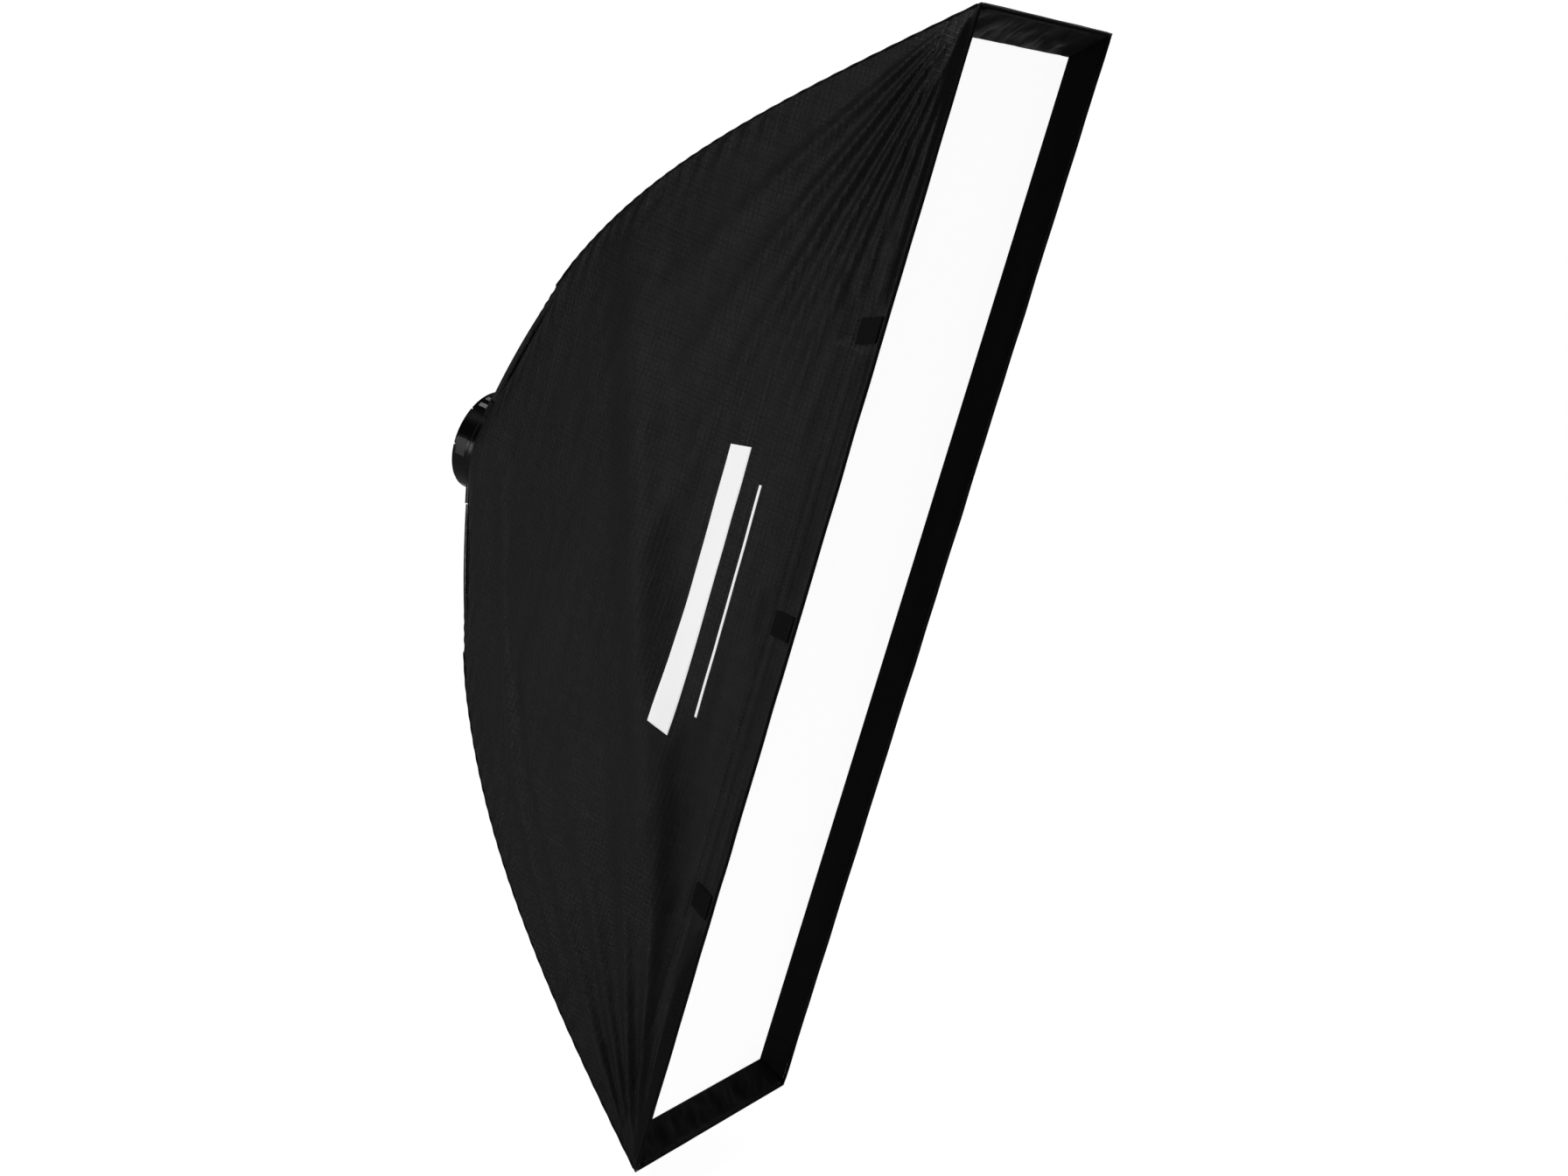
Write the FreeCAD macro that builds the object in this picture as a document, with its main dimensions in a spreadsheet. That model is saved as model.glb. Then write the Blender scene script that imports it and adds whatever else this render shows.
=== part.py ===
"""Strip softbox for a 100 mm flash head: clamp ring, rotating rod ring, four bent rods and a fabric box.

Millimetres. The origin is the centre of the clamp ring's rear face, +Y points back towards the flash,
+Z runs along the long side of the box and the front lip lies at negative Y.
"""
import FreeCAD, Part
import math
import os

import Sketcher
from FreeCAD import Placement, Rotation, Vector

SIZES = (
    # fabric box: front lip, and the corner curve from the lip back to the ring (upper right quarter)
    ("lip_half_width", 150.0), ("lip_half_height", 600.0), ("box_depth", 502.0),
    ("curve_front_x", 139.7), ("curve_front_y", -241.8), ("curve_front_z", 396.4),
    ("curve_rear_x", 76.0), ("curve_rear_y", -99.0), ("curve_rear_z", 304.3),
    ("curve_end_x", 47.7), ("curve_end_y", -20.8), ("curve_end_z", 44.8),
    ("fabric_thickness", 1.2), ("tape_thickness", 1.2), ("layer_gap", 0.1),
    ("ring_fabric_radius", 61.2), ("ring_fabric_half_height", 34.0), ("ring_fabric_y", -29.0),
    # where along the corner curve (0 lip, 1 ring) the side panel leaves the rods and rounds to the ring
    ("bare_rod_gap", 26.0), ("bare_rod_start", 0.68), ("bare_rod_full", 0.80), ("bare_rod_fade", 0.86),
    ("to_ring_start", 0.70), ("round_start", 0.58), ("flap_to_ring_start", 0.72),
    ("tape_setback", 2.0), ("side_tape_reach", 0.95), ("end_tape_reach", 0.93),
    ("loop_share", 0.99),
    ("tab_size", 26.0), ("tab_spacing", 300.0), ("tab_thickness", 1.6), ("tab_setback", 6.0),
    # front diffuser, its slanted border, and the inner diffuser
    ("diffuser_recess", 23.0), ("diffuser_inset", 33.0), ("diffuser_thickness", 0.8),
    ("border_thickness", 1.4), ("border_start_inset_x", 4.3), ("border_start_inset_z", 6.8),
    ("border_start_y", -500.0), ("diffuser_overlap", 5.0),
    ("inner_diffuser_y", -330.0), ("inner_half_width", 102.0), ("inner_half_height", 400.0),
    ("strap_width", 12.0), ("strap_thickness", 0.8), ("strap_end_x", 130.5), ("strap_lap", 9.0),
    ("snap_radius", 5.0), ("snap_height", 2.0), ("strap_spacing", 375.0),
    # rods
    ("rod_radius", 2.5), ("rod_depth_front", 6.4), ("rod_depth_rear", 4.6), ("rod_fit", 0.05),
    ("grip_radius", 4.25), ("grip_length", 150.0), ("sleeve_radius", 3.8), ("sleeve_bore", 3.0),
    ("tip_radius", 3.2), ("tip_length", 12.0), ("pocket_radius", 4.9), ("pocket_bore", 3.35),
    ("pocket_length", 26.0), ("pocket_floor", 2.0), ("rod_straight", 16.0), ("lip_hem_depth", 34.0),
    ("sleeve_start", 12.0), ("sleeve_grip_gap", 10.0), ("grip_end_gap", 1.0),
    # clamp ring
    ("bore_radius", 50.0), ("bore_length", 38.0), ("liner_outer", 51.5), ("sleeve_inner", 51.6),
    ("sleeve_outer", 53.9), ("rim_radius", 55.8), ("rim_width", 1.5), ("shoulder_y", 18.5),
    ("shoulder_width", 1.5), ("sleeve_length", 46.5), ("slot_width", 1.6), ("slot_length", 17.0),
    ("slot_count", 8), ("band_inner", 54.0), ("band_y", 1.7), ("band_width", 16.6),
    ("ear_x", 70.0), ("ear_half_gap", 4.0), ("ear_half_height", 10.0), ("ear_fillet", 2.5),
    ("bolt_x", 63.0), ("bolt_radius", 2.5), ("bolt_hole", 2.65), ("bolt_bottom", 22.0),
    ("washer_radius", 6.8), ("washer_thickness", 1.0), ("pad_length", 19.0), ("pad_width", 12.0),
    ("mark_width", 5.0), ("mark_length", 11.0), ("mark_height", 0.5), ("ear_root", 0.6),
    ("mark_angle_1", 24.0), ("mark_angle_2", 36.0), ("mark_angle_3", 145.0), ("through_cut", 10.0),
    ("cam_radius", 6.0), ("cam_offset", 0.8), ("pin_radius", 1.5), ("eye_radius", 4.2),
    ("eye_width", 5.2), ("shank_share", 0.6), ("lever_width", 12.0), ("lever_inner", 60.5),
    ("lever_outer", 65.0), ("lever_start", 16.0), ("lever_end", 66.0), ("lever_slot", 5.4),
    ("lever_slot_radius", 7.2), ("nut_radius", 7.0), ("nut_height", 8.0), ("nut_notch", 1.0),
    ("nut_notches", 12), ("nut_notch_offset", 0.3),
    # rotating rod ring
    ("running_gap", 0.05), ("friction_y", 20.1), ("friction_width", 0.8), ("friction_outer", 56.6),
    ("rod_ring_y", 21.0), ("flange_radius", 57.5), ("flange_end", 29.0), ("rod_ring_radius", 59.0),
    ("rod_ring_end", 44.0), ("flange_chamfer", 0.7), ("boss_radius", 5.2), ("boss_root", 3.0),
    ("retainer_inner", 52.95), ("retainer_outer", 56.5), ("retainer_gap", 8.0),
    ("retainer_width", 1.4), ("cuff_inner", 59.1), ("cuff_outer", 59.9), ("cuff_y", 30.0),
    ("cuff_width", 13.0), ("cuff_opening", 7.0), ("smallest_cuff_piece", 20.0),
    # access flaps: where they start along the corner curve
    ("flap_start", 0.766), ("panel_end", 0.762), ("flap_side_gap", 10.0),
    ("flap_taper", 3.0),
)

doc = FreeCAD.newDocument("strip_softbox")
sheet = doc.addObject("Spreadsheet::Sheet", "sizes")
for row, (alias, number) in enumerate(SIZES, start=1):
    sheet.set("A%d" % row, alias)
    sheet.set("B%d" % row, str(number))
    sheet.setAlias("B%d" % row, alias)
doc.recompute()

NODES = []
UP, RIGHT, BACK = Vector(0, 0, 1), Vector(1, 0, 0), Vector(0, 1, 0)


def size(alias):
    """The number in the sheet's cell with this alias."""
    return float(sheet.get(alias))


def spread(low, high, count):
    return [low + (high - low) * index / (count - 1) for index in range(count)]


# ---------------------------------------------------------------- sketches and bodies

def new_body(label):
    """A body for one sub-part; its label names the sub-part's file."""
    body = doc.addObject("PartDesign::Body", label)
    body.Label = label
    NODES.append(body)
    return body


def new_sketch(body, role, offset="0"):
    """A sketch on one of the body's origin planes, moved along the plane's normal."""
    sketch = body.newObject("Sketcher::SketchObject", body.Name + "_sketch")
    plane = next(item for item in body.Origin.OriginFeatures if item.Role == role)
    sketch.AttachmentSupport = [(plane, "")]
    sketch.MapMode = "FlatFace"
    sketch.setExpression("AttachmentOffset.Base.z", offset)
    return sketch


def value_of(formula):
    """The number that the sheet's expression engine gives for a formula."""
    return float(sheet.evalExpression(formula))


def pin_point(sketch, geometry, point, x_formula, y_formula):
    """Tie a sketch point to the sketch's origin with two dimensions."""
    for kind, axis, formula in (("DistanceX", -2, x_formula), ("DistanceY", -1, y_formula)):
        number = value_of(formula)
        if abs(number) < 1e-9:
            sketch.addConstraint(Sketcher.Constraint("PointOnObject", geometry, point, axis))
            continue
        if number > 0:
            ends = (-1, 1, geometry, point)
        else:
            ends = (geometry, point, -1, 1)
            formula = "-(%s)" % formula
        index = sketch.addConstraint(Sketcher.Constraint(kind, *ends, abs(number)))
        sketch.setExpression("Constraints[%d]" % index, formula)


def add_outline(sketch, corners):
    """A closed polygon whose corners are pairs of formulas."""
    points = [Vector(value_of(x), value_of(y), 0) for x, y in corners]
    first = sketch.GeometryCount
    count = len(points)
    for i in range(count):
        sketch.addGeometry(Part.LineSegment(points[i], points[(i + 1) % count]), False)
    for i in range(count):
        following = first + (i + 1) % count
        sketch.addConstraint(Sketcher.Constraint("Coincident", first + i, 2, following, 1))
        pin_point(sketch, first + i, 1, *corners[i])


def add_circle(sketch, x_formula, y_formula, radius):
    """A circle with its centre and its radius tied to the sheet."""
    centre = Vector(value_of(x_formula), value_of(y_formula), 0)
    index = sketch.addGeometry(Part.Circle(centre, UP, value_of(radius)), False)
    at_origin = abs(centre.x) < 1e-9 and abs(centre.y) < 1e-9
    if at_origin:
        sketch.addConstraint(Sketcher.Constraint("Coincident", index, 3, -1, 1))
    else:
        pin_point(sketch, index, 3, x_formula, y_formula)
    constraint = sketch.addConstraint(Sketcher.Constraint("Radius", index, value_of(radius)))
    sketch.setExpression("Constraints[%d]" % constraint, radius)


def rectangle(x_low, x_high, y_low, y_high):
    """The corners of an upright rectangle, as formulas."""
    return ((x_low, y_low), (x_high, y_low), (x_high, y_high), (x_low, y_high))


def pad(body, sketch, length):
    feature = body.newObject("PartDesign::Pad", body.Name + "_pad")
    feature.Profile = sketch
    feature.setExpression("Length", length)
    doc.recompute()
    return feature


def pocket(body, sketch, length, reverse=False):
    """A cut, checked to have removed material."""
    before = body.Shape.Volume
    feature = body.newObject("PartDesign::Pocket", body.Name + "_pocket")
    feature.Profile = sketch
    feature.Reversed = reverse
    feature.setExpression("Length", length)
    doc.recompute()
    if body.Shape.Volume > before - 1e-3:
        raise RuntimeError("a pocket of %s cuts nothing" % body.Label)
    return feature


def revolve(body, corners):
    """A full revolution about +Y of a profile given as radius and height along Y."""
    sketch = new_sketch(body, "XY_Plane")
    add_outline(sketch, corners)
    feature = body.newObject("PartDesign::Revolution", body.Name + "_revolution")
    feature.Profile = sketch
    feature.ReferenceAxis = (sketch, ["V_Axis"])
    feature.Angle = 360.0
    doc.recompute()
    return feature


def polar_pattern(body, feature, sketch, count):
    """Repeat a feature about its sketch's normal."""
    pattern = body.newObject("PartDesign::PolarPattern", body.Name + "_pattern")
    pattern.Originals = [feature]
    pattern.Axis = (sketch, ["N_Axis"])
    pattern.Angle = 360.0
    pattern.setExpression("Occurrences", count)
    body.Tip = pattern
    doc.recompute()
    return pattern


def ring_body(label, inner, outer, start, width):
    """A plain ring about +Y, from start to start + width in front of the rear face."""
    body = new_body(label)
    sketch = new_sketch(body, "XZ_Plane", start)
    add_circle(sketch, "0", "0", outer)
    add_circle(sketch, "0", "0", inner)
    pad(body, sketch, width)
    return body


def feature_node(label, shape):
    """A sub-part whose shape comes from surfaces, sweeps or several like solids."""
    node = doc.addObject("Part::Feature", label)
    node.Label = label
    node.Shape = shape
    node.Placement = Placement()
    NODES.append(node)
    return node


# ---------------------------------------------------------------- clamp ring

def make_mount_sleeve():
    """Slotted tube round the flash head, with a rear rim, a shoulder and a retaining groove."""
    body = new_body("mount_sleeve")
    groove_start = "-(sizes.rod_ring_end + 2 * sizes.running_gap)"
    groove_end = "-(sizes.rod_ring_end + sizes.retainer_width + 4 * sizes.running_gap)"
    groove_floor = "sizes.retainer_inner - sizes.running_gap"
    shoulder_end = "-(sizes.shoulder_y + sizes.shoulder_width)"
    revolve(body, (
        ("sizes.sleeve_inner", "0"), ("sizes.rim_radius", "0"),
        ("sizes.rim_radius", "-sizes.rim_width"), ("sizes.sleeve_outer", "-sizes.rim_width"),
        ("sizes.sleeve_outer", "-sizes.shoulder_y"), ("sizes.rim_radius", "-sizes.shoulder_y"),
        ("sizes.rim_radius", shoulder_end), ("sizes.sleeve_outer", shoulder_end),
        ("sizes.sleeve_outer", groove_start), (groove_floor, groove_start),
        (groove_floor, groove_end), ("sizes.sleeve_outer", groove_end),
        ("sizes.sleeve_outer", "-sizes.sleeve_length"), ("sizes.sleeve_inner", "-sizes.sleeve_length")))
    slot = new_sketch(body, "XZ_Plane")
    add_outline(slot, rectangle("-sizes.slot_width / 2", "sizes.slot_width / 2",
                                "sizes.sleeve_inner - 3", "sizes.rim_radius + 3"))
    cut = pocket(body, slot, "sizes.slot_length", reverse=True)
    polar_pattern(body, cut, slot, "sizes.slot_count")


def make_bore_liner():
    """Rubber liner that grips the flash head."""
    ring_body("bore_liner", "sizes.bore_radius", "sizes.liner_outer", "0", "sizes.bore_length")


def make_clamp_band():
    """Split band with two ears, a window for the grip pad and a hole for the tie bolt."""
    body = ring_body("clamp_band", "sizes.band_inner", "sizes.rim_radius", "sizes.band_y",
                     "sizes.band_width")
    ears = new_sketch(body, "XZ_Plane", "sizes.band_y")
    add_outline(ears, rectangle("sizes.band_inner + sizes.ear_root", "sizes.ear_x",
                                "-sizes.ear_half_height", "sizes.ear_half_height"))
    pad(body, ears, "sizes.band_width")
    split = new_sketch(body, "XZ_Plane")
    add_outline(split, rectangle("sizes.bore_radius", "sizes.ear_x + 2",
                                 "-sizes.ear_half_gap", "sizes.ear_half_gap"))
    pocket(body, split, "sizes.shoulder_y", reverse=True)
    bolt = new_sketch(body, "XY_Plane", "-sizes.ear_half_height")
    add_circle(bolt, "sizes.bolt_x", "-(sizes.band_y + sizes.band_width / 2)", "sizes.bolt_hole")
    pocket(body, bolt, "2 * sizes.ear_half_height", reverse=True)
    window = new_sketch(body, "YZ_Plane", "-sizes.rim_radius - 1")
    middle = "-(sizes.band_y + sizes.band_width / 2)"
    half_width = "(sizes.pad_width / 2 + sizes.layer_gap)"
    half_length = "(sizes.pad_length / 2 + sizes.layer_gap)"
    add_outline(window, rectangle("%s - %s" % (middle, half_width), "%s + %s" % (middle, half_width),
                                  "-" + half_length, half_length))
    pocket(body, window, "sizes.through_cut", reverse=True)
    round_ear_corners(body)


def round_ear_corners(body):
    """Round the ears' outer edges that run along Y."""
    base = body.Tip
    corners = []
    for number, edge in enumerate(base.Shape.Edges, start=1):
        ends = [vertex.Point for vertex in edge.Vertexes]
        at_outside = all(abs(point.x - size("ear_x")) < 1e-6 for point in ends)
        if at_outside and abs(ends[0].z - ends[-1].z) < 1e-6:
            corners.append("Edge%d" % number)
    fillet = body.newObject("PartDesign::Fillet", "clamp_band_fillet")
    fillet.Base = (base, corners)
    fillet.setExpression("Radius", "sizes.ear_fillet")
    doc.recompute()


def band_middle():
    return -(size("band_y") + size("band_width") / 2)


def curved_plate(inner, outer, width, length, middle_y, angle):
    """A piece of a ring, width wide round it and length long along Y; angle is from +Z towards -X."""
    start = Vector(0, middle_y - length / 2, 0)
    ring = Part.makeCylinder(outer, length, start, BACK).cut(Part.makeCylinder(inner, length, start, BACK))
    block = Part.makeBox(width, length, 3 * outer, Vector(-width / 2, middle_y - length / 2, 0))
    block.rotate(Vector(), BACK, -angle)
    return ring.common(block).Solids[0]


def make_grip_pad():
    """Rubber pad in the band's window, on the side away from the lever."""
    plate = curved_plate(size("band_inner") + size("layer_gap"), size("rim_radius"), size("pad_length"),
                         size("pad_width"), band_middle(), 90.0)
    feature_node("grip_pad", plate)


def make_index_marks():
    """Thin pale marks on the band that show the turned position."""
    low = size("rim_radius") + size("running_gap")
    high = low + size("mark_height")
    marks = [curved_plate(low, high, size("mark_width"), size("mark_length"), band_middle(),
                          size("mark_angle_%d" % number)) for number in (1, 2, 3)]
    feature_node("index_marks", Part.makeCompound(marks))


# the lever's pin is as high as it needs to be for the cam to just touch the upper washer
PIN_Z = ("(sizes.ear_half_height + sizes.washer_thickness + sizes.cam_radius + sizes.cam_offset"
         " + sizes.running_gap)")
BOLT_Y = "(sizes.band_y + sizes.band_width / 2)"


def make_tie_bolt():
    """Bolt through both ears, with an eye at the top for the lever's pin."""
    body = new_body("tie_bolt")
    shank = new_sketch(body, "XY_Plane", "-sizes.bolt_bottom")
    add_circle(shank, "sizes.bolt_x", "-" + BOLT_Y, "sizes.bolt_radius")
    pad(body, shank, "sizes.bolt_bottom + " + PIN_Z + " - sizes.shank_share * sizes.eye_radius")
    eye = new_sketch(body, "XZ_Plane", BOLT_Y + " - sizes.eye_width / 2")
    add_circle(eye, "sizes.bolt_x", PIN_Z, "sizes.eye_radius")
    pad(body, eye, "sizes.eye_width")
    hole = new_sketch(body, "XZ_Plane", BOLT_Y + " - sizes.eye_width")
    add_circle(hole, "sizes.bolt_x", PIN_Z, "sizes.pin_radius + sizes.running_gap")
    pocket(body, hole, "2 * sizes.eye_width", reverse=True)


def make_washers():
    """A washer on the outer face of each ear."""
    washers = []
    for base in (size("ear_half_height"), -size("ear_half_height") - size("washer_thickness")):
        at = Vector(size("bolt_x"), band_middle(), base)
        disc = Part.makeCylinder(size("washer_radius"), size("washer_thickness"), at, UP)
        washers.append(disc.cut(Part.makeCylinder(size("bolt_hole"), size("washer_thickness"), at, UP)))
    feature_node("thrust_washers", Part.makeCompound(washers))


def make_lever_pin():
    body = new_body("lever_pin")
    sketch = new_sketch(body, "XZ_Plane", BOLT_Y + " - sizes.lever_width / 2")
    add_circle(sketch, "sizes.bolt_x", PIN_Z, "sizes.pin_radius")
    pad(body, sketch, "sizes.lever_width")


def add_arc_band(sketch, inner, outer, start, end):
    """A closed part of a ring about the origin, between two angles in degrees."""
    low, high = math.radians(start), math.radians(end)

    def spoke(radius, angle):
        return Vector(radius * math.cos(angle), radius * math.sin(angle), 0)
    outer_arc = Part.ArcOfCircle(Part.Circle(Vector(), UP, outer), low, high)
    inner_arc = Part.ArcOfCircle(Part.Circle(Vector(), UP, inner), low, high)
    sketch.addGeometry([outer_arc, Part.LineSegment(spoke(outer, high), spoke(inner, high)), inner_arc,
                        Part.LineSegment(spoke(inner, low), spoke(outer, low))], False)
    for first, first_end, second, second_end in ((0, 2, 1, 1), (1, 2, 2, 2), (2, 1, 3, 1), (3, 2, 0, 1)):
        sketch.addConstraint(Sketcher.Constraint("Coincident", first, first_end, second, second_end))
    for arc, name, number in ((0, "sizes.lever_outer", outer), (2, "sizes.lever_inner", inner)):
        sketch.addConstraint(Sketcher.Constraint("Coincident", arc, 3, -1, 1))
        index = sketch.addConstraint(Sketcher.Constraint("Radius", arc, number))
        sketch.setExpression("Constraints[%d]" % index, name)


def make_clamp_lever():
    """Cam lever: a round cam on the pin and a handle that hugs the band."""
    body = new_body("clamp_lever")
    front = BOLT_Y + " - sizes.lever_width / 2"
    cam = new_sketch(body, "XZ_Plane", front)
    add_circle(cam, "sizes.bolt_x", PIN_Z + " - sizes.cam_offset", "sizes.cam_radius")
    pad(body, cam, "sizes.lever_width")
    handle = new_sketch(body, "XZ_Plane", front)
    add_arc_band(handle, size("lever_inner"), size("lever_outer"), size("lever_start"), size("lever_end"))
    pad(body, handle, "sizes.lever_width")
    slot = new_sketch(body, "XZ_Plane", BOLT_Y + " - sizes.lever_slot / 2")
    add_circle(slot, "sizes.bolt_x", PIN_Z, "sizes.lever_slot_radius")
    pocket(body, slot, "sizes.lever_slot", reverse=True)
    hole = new_sketch(body, "XZ_Plane", front + " - 1")
    add_circle(hole, "sizes.bolt_x", PIN_Z, "sizes.pin_radius + sizes.running_gap")
    pocket(body, hole, "sizes.lever_width + 2", reverse=True)


def make_thumb_nut():
    """Scalloped nut under the lower ear."""
    body = new_body("thumb_nut")
    top = "-(sizes.ear_half_height + sizes.washer_thickness + sizes.running_gap)"
    base = top + " - sizes.nut_height"
    outline = new_sketch(body, "XY_Plane", base)
    add_circle(outline, "0", "0", "sizes.nut_radius")
    add_circle(outline, "0", "0", "sizes.bolt_radius + sizes.running_gap")
    pad(body, outline, "sizes.nut_height")
    notch = new_sketch(body, "XY_Plane", base)
    add_circle(notch, "sizes.nut_radius + sizes.nut_notch_offset", "0", "sizes.nut_notch")
    cut = pocket(body, notch, "sizes.nut_height", reverse=True)
    polar_pattern(body, cut, notch, "sizes.nut_notches")
    body.setExpression("Placement.Base.x", "sizes.bolt_x")
    body.setExpression("Placement.Base.y", "-" + BOLT_Y)
    doc.recompute()


def make_friction_ring():
    ring_body("friction_ring", "sizes.band_inner", "sizes.friction_outer", "sizes.friction_y",
              "sizes.friction_width")


def make_retaining_ring():
    """Spring ring in the sleeve's groove, open at the top."""
    body = ring_body("retaining_ring", "sizes.retainer_inner", "sizes.retainer_outer",
                     "sizes.rod_ring_end + 3 * sizes.running_gap", "sizes.retainer_width")
    gap = new_sketch(body, "XZ_Plane", "sizes.rod_ring_end - 1")
    add_outline(gap, rectangle("-sizes.retainer_gap / 2", "sizes.retainer_gap / 2",
                               "sizes.bore_radius", "sizes.rod_ring_radius"))
    pocket(body, gap, "sizes.through_cut", reverse=True)


# ---------------------------------------------------------------- corner curve and rods

def corner_controls():
    """Control points of the corner curve, from the lip back to the ring (upper right quarter)."""
    return (Vector(size("lip_half_width"), -size("box_depth"), size("lip_half_height")),
            Vector(size("curve_front_x"), size("curve_front_y"), size("curve_front_z")),
            Vector(size("curve_rear_x"), size("curve_rear_y"), size("curve_rear_z")),
            Vector(size("curve_end_x"), size("curve_end_y"), size("curve_end_z")))


CONTROLS = corner_controls()


def corner(position):
    """Point of the cubic corner curve, at 0 on the lip and at 1 by the ring."""
    a, b, c, d = CONTROLS
    rest = 1 - position
    return (a * rest ** 3 + b * (3 * rest ** 2 * position) + c * (3 * rest * position ** 2)
            + d * position ** 3)


def corner_frame(position):
    """Outward directions of the side and end panels, and the direction along the corner curve."""
    a, b, c, d = CONTROLS
    rest = 1 - position
    along = (b - a) * (3 * rest ** 2) + (c - b) * (6 * rest * position) + (d - c) * (3 * position ** 2)
    side = along.cross(UP)
    side.normalize()
    end = along.cross(RIGHT)
    end.normalize()
    return (side if side.x > 0 else -side), (end if end.z > 0 else -end), along


def curve_speed(position):
    """Millimetres along the corner curve per unit of position."""
    return corner_frame(position)[2].Length


def smooth_step(low, high, number):
    ratio = min(max((number - low) / (high - low), 0.0), 1.0)
    return ratio * ratio * (3 - 2 * ratio)


def rod_point(position):
    """Axis of the rod, inside the corner between the two panels."""
    side, end, _ = corner_frame(position)
    depth = size("rod_depth_front") + (size("rod_depth_rear") - size("rod_depth_front")) * position
    return corner(position) - (side + end) * depth


def rod_axis():
    """The rod's axis: its bent middle as an edge, and the ends of the straight stretches.

    The rod is straight in the front pocket and in the ring's boss, and bent along the box between them.
    """
    straight = size("rod_straight")
    first = (size("pocket_length") + size("lip_hem_depth")) / curve_speed(0.0)
    last = 1.0 - straight / curve_speed(1.0)
    front, mouth = rod_point(first), rod_point(last)
    _, _, leaving = corner_frame(first)
    _, _, arriving = corner_frame(last)
    third = (last - first) / 3
    bend = Part.BezierCurve()
    bend.setPoles([front, front + leaving * third, mouth - arriving * third, mouth])
    forward, inward = -leaving.normalize(), arriving.normalize()
    tip = front + forward * size("pocket_length")
    end = mouth + inward * straight
    return bend.toShape(), tip, forward, inward, end


ROD_BEND, ROD_TIP, ROD_FORWARD, ROD_INWARD, ROD_END = rod_axis()


def section(edge, parameter, radius):
    """A circle square to an edge, turned the same way all along it."""
    along = edge.tangentAt(parameter)
    over = along.cross(RIGHT)
    frame = Rotation(over.cross(along), over, along, "ZXY")
    circle = Part.Wire(Part.makeCircle(radius))
    circle.Placement = Placement(edge.valueAt(parameter), frame)
    return circle


def swept(edge, radius, sections=13):
    """A round bar along one edge, lofted through evenly spaced circles."""
    first, last = edge.ParameterRange
    return Part.makeLoft([section(edge, parameter, radius) for parameter in spread(first, last, sections)],
                         True)


def swept_tube(edge, outer, inner):
    """A tube along one edge: the outer and inner walls and two flat ends."""
    return swept(edge, outer).cut(swept(edge, inner))


def part_of_bend(from_length, to_length):
    """The bent edge between two lengths, both measured from its front end."""
    first = ROD_BEND.getParameterByLength(from_length)
    last = ROD_BEND.getParameterByLength(to_length)
    return ROD_BEND.Curve.toShape(first, last)


CORNERS = (("upper_right", 1, 1), ("upper_left", -1, 1), ("lower_right", 1, -1), ("lower_left", -1, -1))


def to_quarter(shape, right, up):
    """Mirror a shape of the upper right quarter into another quarter."""
    if right < 0:
        shape = shape.mirror(Vector(), RIGHT)
    if up < 0:
        shape = shape.mirror(Vector(), UP)
    return shape


def four_corners(name, shape):
    for corner_name, right, up in CORNERS:
        feature_node("%s_%s" % (name, corner_name), to_quarter(shape, right, up))


def make_rods():
    """Fibreglass rods, their rear grips, front tips, fabric sleeves and corner pockets."""
    tip_depth = size("tip_length") - size("pocket_floor")
    gap = size("layer_gap")
    radius = size("rod_radius")
    bar = swept(ROD_BEND, radius).fuse([
        Part.makeCylinder(radius, size("pocket_length"), ROD_TIP, -ROD_FORWARD),
        Part.makeCylinder(radius, size("rod_straight"), ROD_END, -ROD_INWARD)])
    four_corners("rod", bar)
    bend_length = ROD_BEND.Length
    bore = size("rod_radius") + size("rod_fit")
    grip_edge = part_of_bend(bend_length - size("grip_length"), bend_length - size("grip_end_gap"))
    four_corners("rod_grip", swept_tube(grip_edge, size("grip_radius"), bore))
    sleeve_end = bend_length - size("grip_length") - size("sleeve_grip_gap")
    sleeve_edge = part_of_bend(size("sleeve_start"), sleeve_end)
    four_corners("rod_sleeve", swept_tube(sleeve_edge, size("sleeve_radius"), size("sleeve_bore")))
    front = ROD_TIP + ROD_FORWARD * (size("tip_length") - tip_depth)
    cap = Part.makeCylinder(size("tip_radius"), size("tip_length"), front, -ROD_FORWARD)
    cap = cap.cut(Part.makeCylinder(bore, size("tip_length"), ROD_TIP + ROD_FORWARD * gap, -ROD_FORWARD))
    four_corners("rod_tip", cap)
    floor = front + ROD_FORWARD * (size("pocket_floor") + gap)
    cup = Part.makeCylinder(size("pocket_radius"), size("pocket_length"), floor, -ROD_FORWARD)
    hollow_start = front + ROD_FORWARD * gap
    cup = cup.cut(Part.makeCylinder(size("pocket_bore"), size("pocket_length"), hollow_start, -ROD_FORWARD))
    four_corners("corner_pocket", cup)


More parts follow.
